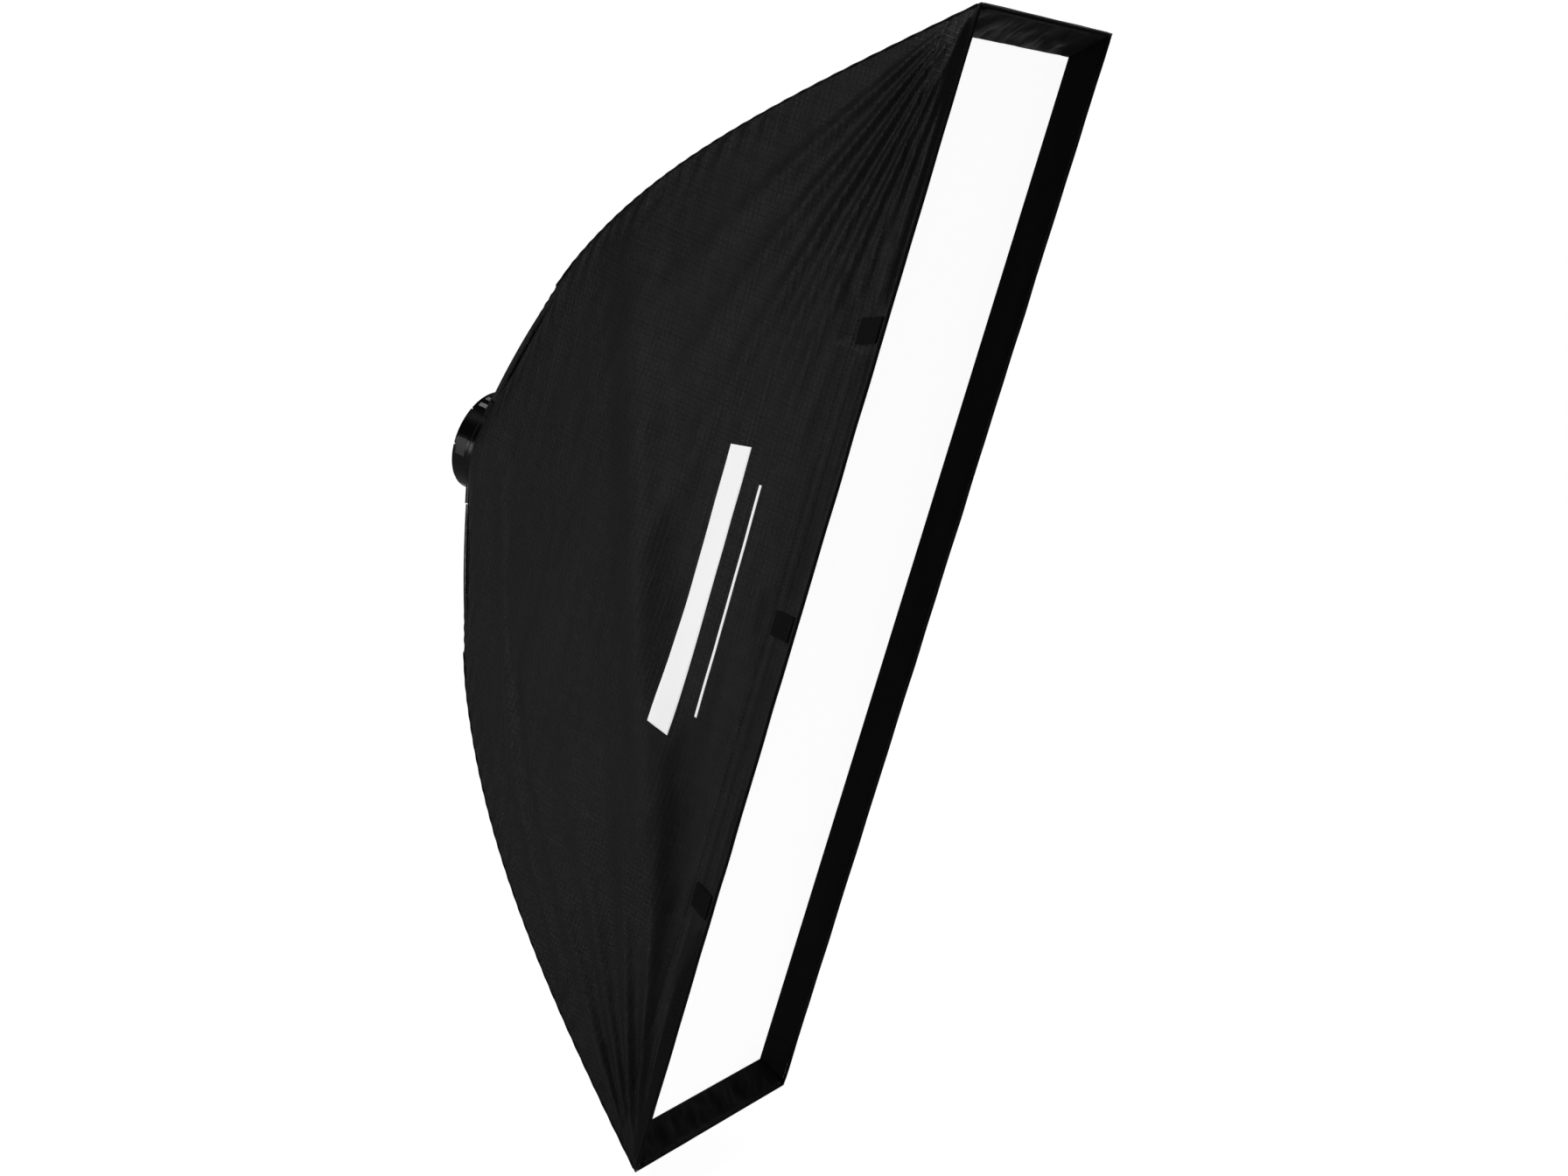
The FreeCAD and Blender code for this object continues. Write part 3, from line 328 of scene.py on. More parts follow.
NODE_MATERIALS = (
    (("mount_sleeve", "clamp_band", "rod_ring", "clamp_lever"), GLOSS),
    (("bore_liner", "friction_ring"), RUBBER), (("grip_pad",), GRIP_PAD_PAINTED_REFLECTION), (("index_marks",), INLAY),
    (("tie_bolt", "thrust_washers", "lever_pin", "retaining_ring"), STEEL), (("thumb_nut",), KNOB),
    (("rod_grip", "rod_tip"), GRIP), (("rod_sleeve", "corner_pocket", "ring_cuff"), WEBBING),
    (("rod_upper", "rod_lower"), FIBRE), (("hook_tape", "grid_tab", "loop_tapes"), TAPE),
    (("inner_diffuser",), DIFFUSION), (("inner_straps",), ELASTIC), (("strap_snaps",), CHROME),
)


def finish_cad_nodes():
    """Give each shown CAD node its material, by the start of its name."""
    for starts, material in NODE_MATERIALS:
        for name, node in NODES.items():
            if name.startswith(starts):
                node.data.materials.clear()
                node.data.materials.append(material)


# ---------------------------------------------------------------- mesh helpers

def mesh_object(name, vertices, faces, materials, face_material=None, uv=None, smooth=True):
    """A mesh object from arrays; uv has one pair for each vertex, in metres."""
    mesh = bpy.data.meshes.new(name)
    mesh.from_pydata([tuple(v) for v in vertices.tolist()], [], [tuple(f) for f in faces.tolist()])
    for material in materials:
        mesh.materials.append(material)
    if face_material is not None:
        mesh.polygons.foreach_set("material_index", np.asarray(face_material, dtype=np.int32))
    mesh.polygons.foreach_set("use_smooth", np.full(len(mesh.polygons), smooth))
    if uv is not None:
        layer = mesh.uv_layers.new(name="metres")
        corner = np.empty(len(mesh.loops), dtype=np.int32)
        mesh.loops.foreach_get("vertex_index", corner)
        layer.data.foreach_set("uv", np.asarray(uv, dtype=np.float32)[corner].ravel())
    mesh.validate()
    mesh.update()
    obj = bpy.data.objects.new(name, mesh)
    bpy.context.collection.objects.link(obj)
    return obj


def grid_normals(points):
    """Unit normals of a grid of points."""
    down = np.gradient(points, axis=0)
    across = np.gradient(points, axis=1)
    normals = np.cross(down, across)
    return normals / np.maximum(np.linalg.norm(normals, axis=2, keepdims=True), 1e-12)


def normals_outward(obj):
    """Turn a closed mesh's faces so that its volume is positive."""
    work = bmesh.new()
    work.from_mesh(obj.data)
    bmesh.ops.recalc_face_normals(work, faces=work.faces)
    work.to_mesh(obj.data)
    work.free()


def sheet_object(name, outer, inner, materials, uv):
    """A closed sheet from an outer and an inner grid: outer face, inner face and four rims."""
    rows, columns = outer.shape[:2]
    count = rows * columns
    index = np.arange(count).reshape(rows, columns)
    quads = np.stack([index[:-1, :-1], index[1:, :-1], index[1:, 1:], index[:-1, 1:]], -1).reshape(-1, 4)
    rim = np.concatenate([index[:, 0], index[-1, 1:], index[-2::-1, -1], index[0, -2:0:-1]])
    following = np.roll(rim, -1)
    rims = np.stack([rim, rim + count, following + count, following], -1)
    faces = np.concatenate([quads, quads[:, ::-1] + count, rims])
    face_material = np.concatenate([np.zeros(len(quads)), np.ones(len(quads)), np.zeros(len(rims))])
    vertices = np.concatenate([outer.reshape(-1, 3), inner.reshape(-1, 3)])
    obj = mesh_object(name, vertices, faces, materials, face_material, np.concatenate([uv, uv]))
    normals_outward(obj)
    return obj


def rounded_object(name, points, faces, material):
    """A smooth closed mesh of one material, from an array of points and lists of faces."""
    mesh = bpy.data.meshes.new(name)
    mesh.from_pydata(points.tolist(), [], faces)
    mesh.materials.append(material)
    mesh.polygons.foreach_set("use_smooth", np.full(len(mesh.polygons), True))
    mesh.update()
    obj = bpy.data.objects.new(name, mesh)
    bpy.context.collection.objects.link(obj)
    normals_outward(obj)
    return obj


def wall_faces(index):
    """Faces between neighbouring rings of a tube; index has one row for each ring."""
    following = np.roll(index, -1, 1)
    return np.stack([index[:-1], following[:-1], following[1:], index[1:]], -1).reshape(-1, 4).tolist()


def cap_faces(index):
    """The two flat ends of a tube."""
    return [index[0][::-1].tolist(), index[-1].tolist()]


def travelled_along(path):
    """Distance along a path of points, at each point."""
    return np.concatenate([[0.0], np.cumsum(np.linalg.norm(np.diff(path, axis=0), axis=1))])


SLANTED = np.array([0.31, 0.87, 0.38])  # a direction that no tube follows


def tube_object(name, path, radii, material, sides=10, closed=False):
    """A round tube along a path of points, with flat caps unless it is closed."""
    path = np.asarray(path)
    count = len(path)
    if closed:
        tangent = np.roll(path, -1, 0) - np.roll(path, 1, 0)
    else:
        tangent = np.gradient(path, axis=0)
    tangent /= np.linalg.norm(tangent, axis=1, keepdims=True)
    side = np.cross(tangent, SLANTED)
    side /= np.linalg.norm(side, axis=1, keepdims=True)
    over = np.cross(tangent, side)
    angle = np.linspace(0, 2 * np.pi, sides, endpoint=False)
    radii = np.broadcast_to(np.asarray(radii, dtype=float), (count,))
    ring = (np.cos(angle)[None, :, None] * side[:, None] + np.sin(angle)[None, :, None] * over[:, None])
    points = path[:, None] + ring * radii[:, None, None]
    index = np.arange(count * sides).reshape(count, sides)
    if closed:
        faces = wall_faces(np.vstack([index, index[:1]]))
    else:
        faces = wall_faces(index) + cap_faces(index)
    return rounded_object(name, points.reshape(-1, 3), faces, material)


def stitches(name, path, normals, material, length=0.0030, gap=0.0014, radius=0.00035):
    """A row of raised thread stitches along a path of points on a surface."""
    path, normals = np.asarray(path), np.asarray(normals)
    travelled = travelled_along(path)
    starts = np.arange(0.0, travelled[-1] - length, length + gap)
    sections = np.array([0.0, 0.18, 0.5, 0.82, 1.0])
    thickness = np.array([0.35, 0.85, 1.0, 0.85, 0.35]) * radius
    lift = np.array([-0.4, 0.3, 0.7, 0.3, -0.4]) * radius
    sides = 6
    angle = np.linspace(0, 2 * np.pi, sides, endpoint=False)
    vertices, faces = [], []
    for start in starts:
        along = start + sections * length
        centre = np.stack([np.interp(along, travelled, path[:, k]) for k in range(3)], 1)
        normal = np.stack([np.interp(along, travelled, normals[:, k]) for k in range(3)], 1)
        tangent = centre[-1] - centre[0]
        tangent /= np.linalg.norm(tangent)
        side = np.cross(tangent, normal[2])
        side /= np.linalg.norm(side)
        ring = np.cos(angle)[:, None] * side + np.sin(angle)[:, None] * normal[2]
        base = len(vertices) * sides
        for k in range(len(sections)):
            vertices.append(centre[k] + normal[k] * lift[k] + ring * thickness[k])
        index = base + np.arange(len(sections) * sides).reshape(-1, sides)
        faces += wall_faces(index) + cap_faces(index)
    return rounded_object(name, np.concatenate(vertices), faces, material)


# ---------------------------------------------------------------- fabric surfaces

def smooth_step(low, high, values):
    """0 up to low, 1 from high on, and a smooth rise between."""
    ratio = np.clip((values - low) / (high - low), 0.0, 1.0)
    return ratio * ratio * (3 - 2 * ratio)


def corner_point(t):
    """The corner curve of the upper right quarter, at 0 on the lip and at 1 by the ring."""
    t = np.asarray(t)[..., None]
    a, b, c, d = CORNER_CURVE
    return a * (1 - t) ** 3 + 3 * b * (1 - t) ** 2 * t + 3 * c * (1 - t) * t ** 2 + d * t ** 3


def side_grid(t, u):
    """Outer face of the right side panel; u runs from -1 at the lower rod to 1 at the upper."""
    edge = corner_point(t)
    to_ring = smooth_step(SIDE_TO_RING, 1.0, t)
    bare = smooth_step(BARE_ROD_START, BARE_ROD_FULL, t) * (1 - smooth_step(BARE_ROD_NARROWS, 1.0, t))
    half_height = edge[:, 2] + (RING_FABRIC_HALF_HEIGHT - CORNER_CURVE[3, 2]) * to_ring
    half_height -= BARE_ROD_GAP * bare
    round_ring = np.sqrt(RING_FABRIC_RADIUS ** 2 - (RING_FABRIC_HALF_HEIGHT * u) ** 2) - CORNER_CURVE[3, 0]
    x = edge[:, 0:1] + round_ring[None] * smooth_step(SIDE_ROUNDS, 1.0, t)[:, None] ** 2
    y = (edge[:, 1] + (RING_FABRIC_Y - CORNER_CURVE[3, 1]) * to_ring)[:, None] + 0 * u[None]
    return np.stack([x, y, half_height[:, None] * u[None]], -1)


def end_grid(t, v):
    """Outer face of the upper end panel, between the right and left rods."""
    edge = corner_point(t)
    one = np.ones_like(v)[None]
    return np.stack([(edge[:, 0:1] - 0.0008) * v[None], edge[:, 1:2] * one, edge[:, 2:3] * one], -1)


def flap_grid(t, v):
    """Outer face of the upper access flap."""
    edge = corner_point(t)
    to_ring = smooth_step(FLAP_TO_RING, 1.0, t)[:, None]
    half_width = edge[:, 0:1] - FLAP_INSET - FLAP_RING_INSET * to_ring
    ring_half_width = CORNER_CURVE[3, 0] - FLAP_INSET - FLAP_RING_INSET
    round_ring = np.sqrt(RING_FABRIC_RADIUS ** 2 - (ring_half_width * v) ** 2)[None] - CORNER_CURVE[3, 2]
    y = edge[:, 1:2] + (RING_FABRIC_Y - CORNER_CURVE[3, 1]) * to_ring + 0 * v[None]
    return np.stack([half_width * v[None], y, edge[:, 2:3] + round_ring * to_ring ** 2], -1)


def bell(values, width):
    """1 at zero, falling smoothly to nothing past width."""
    return np.exp(-(values / width) ** 2)


def cloth_noise(points, scale, seed):
    """Smooth seeded noise from -1 to 1 at each grid point."""
    flat = points.reshape(-1, 3)
    shift = Vector((seed * 7.31, seed * 3.17, seed * 5.93))
    values = [noise.noise(Vector(p) * scale + shift) for p in flat.tolist()]
    return np.array(values).reshape(points.shape[:2])


def corner_fan(down, depth, creases, reach):
    """Creases that spread from a front corner; down and depth are distances from it.

    Each crease is (angle from the lip in degrees, width in degrees, height in metres, bend per metre).
    """
    distance = np.hypot(down, depth)
    angle = np.degrees(np.arctan2(depth, np.maximum(down, 1e-6)))
    envelope = smooth_step(0.004, 0.10, distance) * np.exp(-distance / reach)
    narrowest = np.degrees(CREASE_WIDTH / np.maximum(distance, CREASE_WIDTH))
    height = np.zeros_like(distance)
    for centre, width, crease_height, bend in creases:
        height += crease_height * bell(angle - centre - bend * distance, np.hypot(width, narrowest))
    return height * envelope


def path_distance(z, depth, path):
    """Distance from each point to a smooth path of (z, depth) points, and the place along it from 0 to 1."""
    path = np.asarray(path)
    spline = np.linspace(0, len(path) - 1, 60)
    at = np.stack([np.interp(spline, np.arange(len(path)), path[:, k]) for k in range(2)], 1)
    for _ in range(12):
        at[1:-1] = (at[:-2] + 2 * at[1:-1] + at[2:]) / 4
    best = np.full(z.shape, 1e9)
    place = np.zeros(z.shape)
    for k, (start, end) in enumerate(zip(at[:-1], at[1:])):
        step = end - start
        share = ((z - start[0]) * step[0] + (depth - start[1]) * step[1]) / np.dot(step, step)
        share = np.clip(share, 0.0, 1.0)
        distance = np.hypot(z - start[0] - share * step[0], depth - start[1] - share * step[1])
        nearer = distance < best
        best = np.where(nearer, distance, best)
        place = np.where(nearer, (k + share) / (len(at) - 1), place)
    return best, place


UPPER_FAN = ((3.0, 1.6, 0.0070, 0), (8.0, 1.4, 0.0095, -2), (13.0, 1.5, 0.0130, -6),
             (18.5, 1.4, 0.0110, -8), (24.0, 1.7, 0.0150, -10), (31.0, 1.8, 0.0110, -10),
             (39.0, 2.2, 0.0085, -8))
LOWER_FAN = ((4.0, 1.6, 0.0065, 0), (11.0, 1.8, 0.0095, 4), (19.0, 2.0, 0.0125, 6),
             (28.0, 2.2, 0.0080, 8), (37.0, 2.4, 0.0085, 6))
END_FAN = ((20, 4, 0.0026, 0), (45, 5, 0.0030, 0), (68, 4, 0.0024, 0))

# Where the two long folds of a side panel run: height above the middle, depth behind the lip.
LONG_RIDGE = ((0.330, 0.330), (0.243, 0.290), (0.029, 0.204),
              (-0.216, 0.111), (-0.382, 0.055), (-0.53, 0.012))
REAR_CREASE = ((0.02, 0.43), (-0.059, 0.400), (-0.18, 0.345),
               (-0.290, 0.285), (-0.40, 0.20), (-0.50, 0.10))
RIDGE_HEIGHT, RIDGE_WIDTH = 0.0120, 0.032
REAR_HEIGHT, REAR_DIP, REAR_WIDTH, REAR_DIP_AT = 0.0022, 0.0012, 0.008, 0.016
PUCKER_HEIGHT, PUCKER_REACH, PUCKERS = 0.0013, 0.026, 150
SIDE_DEEPEST, END_DEEPEST = -0.0009, -0.0012  # a fold goes in no further than this


def flat_under_tabs(z, depth):
    """1 away from the tabs and 0 under them, where the cloth is sewn flat."""
    from_tab = np.min([np.abs(z - middle) for middle in (-TAB_SPACING, 0.0, TAB_SPACING)], axis=0)
    beside = smooth_step(TAB_HALF + 0.002, TAB_HALF + 0.018, from_tab)
    behind = smooth_step(2 * TAB_HALF + 0.008, 2 * TAB_HALF + 0.026, depth)
    return np.maximum(beside, behind)


def side_folds(points, t, u, seed):
    """Height of the folds of a side panel above its smooth surface."""
    z, depth = points[..., 2], points[..., 1] - LIP_Y
    height = corner_fan(HALF_HEIGHT - z, depth, UPPER_FAN, 0.22)
    height += corner_fan(HALF_HEIGHT + z, depth, LOWER_FAN, 0.20)
    ridge, place = path_distance(z, depth, LONG_RIDGE)
    fade = np.sin(np.pi * np.clip(place * 0.96 + 0.02, 0, 1)) ** 0.7
    height += RIDGE_HEIGHT * bell(ridge, RIDGE_WIDTH) * fade
    crease, place = path_distance(z, depth, REAR_CREASE)
    rise = REAR_HEIGHT * bell(crease, REAR_WIDTH) - REAR_DIP * bell(crease - REAR_DIP_AT, REAR_WIDTH)
    height += rise * np.sin(np.pi * place)
    from_rod = (1 - np.abs(u))[None] * np.abs(points[..., -1, 2])[:, None]
    pucker = np.sin(t[:, None] * PUCKERS + 3.0 * cloth_noise(points, 14.0, seed + 2))
    height += PUCKER_HEIGHT * pucker * bell(from_rod, PUCKER_REACH) * smooth_step(0.08, 0.2, t)[:, None]
    height += 0.0030 * cloth_noise(points * np.array([1.0, 2.6, 0.6]), 6.0, seed)
    height += 0.0007 * cloth_noise(points * np.array([1.0, 2.5, 1.0]), 22.0, seed + 1)
    edges = smooth_step(0.0, 0.012, from_rod) * smooth_step(0.0, 0.010, depth)
    edges *= (1 - smooth_step(0.93, 0.99, t)[:, None]) * flat_under_tabs(z, depth)
    hem = 0.0004 * bell(depth - SEAM_DEPTH + 0.005, 0.003)
    seam = -SEAM_DIP * bell(depth - SEAM_DEPTH, SEAM_WIDTH) + hem
    return np.maximum(height, SIDE_DEEPEST) * edges + seam


def end_folds(points, t, v, seed):
    """Height of the folds of an end panel: creases run from corner to corner across it."""
    along = np.linalg.norm(points[..., 1:] - points[0, :, 1:][None], axis=-1)
    across = np.broadcast_to(v[None], along.shape)
    height = 0.0018 * cloth_noise(points * np.array([2.0, 0.7, 0.7]), 7.0, seed)
    height += 0.0005 * cloth_noise(points * np.array([2.5, 1.0, 1.0]), 24.0, seed + 1)
    for side in (-1, 1):
        from_corner = (1 - side * across) * points[..., -1, 0][:, None]
        height += corner_fan(from_corner, along, END_FAN, 0.12)
    edges = smooth_step(0.0, 0.05, 1 - np.abs(across)) * smooth_step(0.0, 0.012, along)
    edges *= 1 - smooth_step(PANEL_END - 0.03, PANEL_END, t)[:, None]
    seam = -SEAM_DIP * bell(along - SEAM_DEPTH, SEAM_WIDTH)
    return np.maximum(height, END_DEEPEST) * edges + seam


def flap_folds(points, t, v, seed):
    """Height of the soft folds of an access flap, which lies flat along its edges."""
    height = 0.0018 * cloth_noise(points * np.array([2.2, 1.0, 0.8]), 12.0, seed)
    from_fold = smooth_step(FLAP_START, FLAP_START + 0.03, t)[:, None]
    edges = smooth_step(0.0, 0.15, 1 - np.abs(v))[None] * from_fold
    return np.abs(height) * edges * (1 - smooth_step(0.93, 1.0, t))[:, None]


def metre_uv(points):
    """UV in metres: along the rows and along the columns."""
    rows = travelled_along(points[:, points.shape[1] // 2])
    columns = points[..., 2] if np.ptp(points[0, :, 2]) > np.ptp(points[0, :, 0]) else points[..., 0]
    return np.stack([columns, np.broadcast_to(rows[:, None], columns.shape)], -1).reshape(-1, 2)


def outward(points, normals):
    """The normals, turned where needed so that they point away from the middle of the box."""
    middle = np.array([0.0, 0.8 * LIP_Y, 0.0])
    facing = np.sum(normals * (points - middle), axis=-1, keepdims=True)
    return np.where(facing > 0, normals, -normals)


PANELS = {}  # for each panel, the points and the normals of its outer face


def make_panel(name, grid, folds, t, across, seed, mirror, body, node):
    """One fabric panel: smooth surface, folds, thickness; mirror flips one axis."""
    smooth = grid(t, across)
    normals = outward(smooth, grid_normals(smooth))
    height = folds(smooth, t, across, seed)
    outer = (smooth + normals * height[..., None]) * mirror
    inner = outer - normals * mirror * CLOTH
    lifted = outward(outer, grid_normals(outer))
    obj = sheet_object(name, outer, inner, (SHELL, LINING), metre_uv(smooth))
    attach(obj, body)
    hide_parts(node)
    PANELS[name] = (outer, lifted)


def make_panels():
    """Side panels, end panels and the two flaps."""
    front_dense = np.linspace(0, 1, 210) ** 1.3
    even = np.linspace(-1, 1, 481)
    side_u = np.sign(even) * (1 - (1 - np.abs(even)) ** 1.4)
    for name, mirror, seed in (("right", (1, 1, 1), 11), ("left", (-1, 1, 1), 3)):
        make_panel("side_fabric_" + name, side_grid, side_folds, front_dense, side_u, seed,
                   np.array(mirror), "box", "side_panel_" + name)
    end_t = np.linspace(0, PANEL_END, 150)
    end_v = np.linspace(-1, 1, 90)
    flap_t = np.linspace(FLAP_START, 1.0, 60)
    flap_v = np.linspace(-1, 1, 50)
    for name, mirror, seed in (("upper", (1, 1, 1), 21), ("lower", (1, 1, -1), 27)):
        make_panel("end_fabric_" + name, end_grid, end_folds, end_t, end_v, seed, np.array(mirror),
                   "box", "end_panel_" + name)
        make_panel("flap_fabric_" + name, flap_grid, flap_folds, flap_t, flap_v, seed + 3,
                   np.array(mirror), "flap_" + name, "access_flap_" + name)


def corner_normals(t):
    """Outward directions of the side and end panels along the upper right corner curve."""
    along = np.gradient(corner_point(t), axis=0)
    side = np.cross(along, (0, 0, 1))
    end = np.cross(along, (1, 0, 0))
    side *= np.sign(side[:, 0:1]) / np.linalg.norm(side, axis=1, keepdims=True)
    end *= np.sign(end[:, 2:3]) / np.linalg.norm(end, axis=1, keepdims=True)
    return side, end


def rod_path(t):
    """Axis of the upper right rod: inside the corner, under both panels."""
    side, end = corner_normals(t)
    depth = ROD_DEPTH_FRONT + (ROD_DEPTH_REAR - ROD_DEPTH_FRONT) * t
    return corner_point(t) - (side + end) * depth[:, None]


def make_rod_facing(corner_name, sign):
    """Cloth behind the bare rod, from inside the side panel's edge to under the flap's edge."""
    under_panel, panel_overlap, thickness = 0.0014, 0.012, 0.0006
    under_flap, place_on_flap, behind = 0.0035, 0.74, 0.0045
    t = np.linspace(FACING_START, FACING_END, 110)
    side, end = corner_normals(t)
    panel_edge = side_grid(t, np.array([1.0]))[:, 0] - side * under_panel
    panel_edge[:, 2] -= panel_overlap
    flap_edge = flap_grid(t, np.array([place_on_flap]))[:, 0] - end * under_flap
    behind_rod = rod_path(t) - (side + end) * behind
    pull = 2 * behind_rod - (panel_edge + flap_edge) / 2
    w = np.linspace(0, 1, 24)[None, :, None]
    points = panel_edge[:, None] * (1 - w) ** 2 + 2 * pull[:, None] * w * (1 - w)
    points += flap_edge[:, None] * w ** 2
    back = points - outward(points, grid_normals(points)) * thickness
    facing = sheet_object("rod_facing_" + corner_name, points * sign, back * sign, (SHELL, LINING),
                          metre_uv(points))
    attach(facing, "box")


def make_flap_hinges():
    """A strip sewn across each flap's fold, half on the end panel and half on the flap."""
    overlap, bend_reach, inset = 0.010, 0.004, 0.0105
    t = np.linspace(PANEL_END - overlap, FLAP_START + overlap, 44)
    v = np.linspace(-1, 1, 60)
    edge = corner_point(t)[:, None] * np.ones((1, len(v), 1))
    edge[..., 0] = (edge[..., 0] - inset) * v[None]
    normals = outward(edge, grid_normals(edge))
    for name, up in (("upper", 1), ("lower", -1)):
        mirror = np.array([1, 1, up])
        strip = sheet_object("flap_fold_" + name, (edge + normals * 0.0016) * mirror,
                             (edge - normals * 0.0002) * mirror, (SHELL, SHELL), metre_uv(edge))
        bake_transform(strip)


def make_sleeve_end(corner_name, sign):
    """The gathered end of the fabric sleeve, where the rod comes out bare."""
    t = np.linspace(SLEEVE_START, SLEEVE_END, 110)
    gathers = 0.0003 * np.sin(t * 340) * smooth_step(0.68, 0.74, t) * (1 - smooth_step(0.80, 0.84, t))
    swell = 0.0036 * smooth_step(0.62, 0.73, t) - 0.0021 * smooth_step(0.74, 0.84, t)
    radius = 0.0030 + swell + gathers
    sleeve = tube_object("sleeve_end_" + corner_name, rod_path(t) * sign, radius, SHELL_PLAIN, sides=18)
    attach(sleeve, "box")


def make_seams():
    """Stitch rows behind the lip, and bound corner seams, sleeve ends and rod facings along the rods."""
    keep = slice(6, -6)
    for name, (outer, normals) in PANELS.items():
        if name.startswith("flap"):
            continue
        depth = np.linalg.norm(outer[:, outer.shape[1] // 2] - outer[0, outer.shape[1] // 2], axis=1)
        for number, place in enumerate((SEAM_DEPTH - 0.0015, SEAM_DEPTH + 0.0035)):
            row = int(np.argmin(np.abs(depth - place)))
            seam = stitches("%s_seam_%d" % (name, number), outer[row, keep], normals[row, keep], THREAD)
            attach(seam, "box")
    for corner_name, right, up in (("upper_right", 1, 1), ("upper_left", -1, 1),
                                   ("lower_right", 1, -1), ("lower_left", -1, -1)):
        sign = np.array([right, 1, up])
        t = np.linspace(0.004, PANEL_END - 0.004, 170)
        path = (corner_point(t) - np.array([CLOTH, 0, CLOTH])) * sign
        taper = 1 - 0.6 * smooth_step(0.70, PANEL_END, t)
        wobble = (0.00145 + 0.00022 * np.sin(t * 260)) * taper
        binding = tube_object("corner_binding_" + corner_name, path, wobble, BORDER, sides=10)
        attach(binding, "box")
        make_sleeve_end(corner_name, sign)
        make_rod_facing(corner_name, sign)


# Each printed bar: its name, its nearest and farthest from the lip, and its bottom and top.
PRINT_BARS = (("wide", 0.102, 0.128, -0.155, 0.150), ("narrow", 0.076, 0.082, -0.125, 0.120))
PRINT_FACE, PRINT_BACK = 0.00022, 0.00004  # heights above the cloth


def make_print():
    """Two plain white printed bars along the lip on each side panel; the ink has a painted glow that lifts
    it towards white.
    """
    for name in ("side_fabric_right", "side_fabric_left"):
        outer, normals = PANELS[name]
        depth = outer[:, outer.shape[1] // 2, 1] - LIP_Y
        for bar, near, far, low, high in PRINT_BARS:
            rows = np.where((depth > near) & (depth < far))[0]
            z = outer[rows[0], :, 2]
            columns = np.where((z > low) & (z < high))[0]
            under, up = outer[np.ix_(rows, columns)], normals[np.ix_(rows, columns)]
            face = under + up * PRINT_FACE
            back = under + up * PRINT_BACK
            uv = np.stack([face[..., 2], face[..., 1]], -1).reshape(-1, 2)
            ink = sheet_object("%s_print_%s" % (name, bar), face, back, (PRINT_WITH_PAINTED_GLOW, PRINT_WITH_PAINTED_GLOW), uv)
            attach(ink, "box")


def lip_path(inset, y, samples):
    """A rounded rectangle round the lip, inset metres inside it."""
    width, height, radius = HALF_WIDTH - inset, HALF_HEIGHT - inset, LIP_CORNER_RADIUS
    points = []
    for sx, sz, start in ((1, 1, 0), (-1, 1, 90), (-1, -1, 180), (1, -1, 270)):
        for angle in np.radians(np.linspace(start, start + 90, 6)):
            points.append((sx * (width - radius) + radius * math.cos(angle), y,
                           sz * (height - radius) + radius * math.sin(angle)))
    points = np.array(points + points[:1])
    travelled = travelled_along(points)
    even = np.linspace(0, travelled[-1], samples, endpoint=False)
    return np.stack([np.interp(even, travelled, points[:, k]) for k in range(3)], 1), even


def make_lip():
    """Rolled binding round the front lip."""
    path, even = lip_path(0.0016, LIP_Y + 0.0012, 900)
    ripple = np.array([noise.noise(Vector((s * 18.0, 2.0, 0.0))) for s in even])
    path[:, 1] += 0.0009 * ripple
    roll = tube_object("lip_binding", path, 0.0019 + 0.0003 * ripple, BORDER, sides=10, closed=True)
    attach(roll, "box")


def make_border():
    """Slanted border with soft wrinkles, as four strips."""
    spare, border_width, thickness = 0.0008, 0.033, 0.0012
    low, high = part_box("diffuser_border")
    start = np.array([high[0] + spare, high[2] + spare])
    opening = np.array([HALF_WIDTH - border_width, HALF_HEIGHT - border_width])
    front_y, rear_y = low[1], high[1]
    samples = {0: 90, 1: 300}
    for name, axis, sign in (("right", 0, 1), ("left", 0, -1), ("upper", 1, 1), ("lower", 1, -1)):
        s = np.linspace(-1, 1, samples[1 - axis])
        w = np.linspace(0, 1, 26)
        reach = start + (opening - start) * w[:, None]
        y = front_y + (rear_y - front_y) * w
        grid = np.empty((len(w), len(s), 3))
        grid[..., 1] = y[:, None]
        fixed, free = (0, 2) if axis == 0 else (2, 0)
        grid[..., fixed] = sign * reach[:, axis][:, None]
        grid[..., free] = reach[:, 1 - axis][:, None] * s[None]
        normals = grid_normals(grid)
        normals = np.where(normals[..., 1:2] < 0, normals, -normals)
        seed = 40 + 3 * axis + sign
        stretch = np.array([1.0, 1.0, 0.4]) if axis == 0 else np.array([1.6, 1.0, 1.0])
        fade = np.sin(np.pi * np.clip(w, 0.02, 0.98))[:, None] * smooth_step(0, 0.03, 1 - np.abs(s))[None]
        strength = 0.0022 if axis == 0 else 0.0042
        height = (strength * cloth_noise(grid * stretch, 26.0, seed)
                  + 0.4 * strength * cloth_noise(grid * stretch, 70.0, seed + 9)) * fade
        front = grid + normals * height[..., None]
        back = front - normals * thickness
        uv = np.stack([np.broadcast_to(grid[..., free], grid.shape[:2]),
                       np.broadcast_to(w[:, None] * 0.04, grid.shape[:2])], -1).reshape(-1, 2)
        strip = sheet_object("border_fabric_" + name, front, back, (BORDER, BORDER), uv)
        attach(strip, "front_screen")
        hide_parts("diffuser_border")


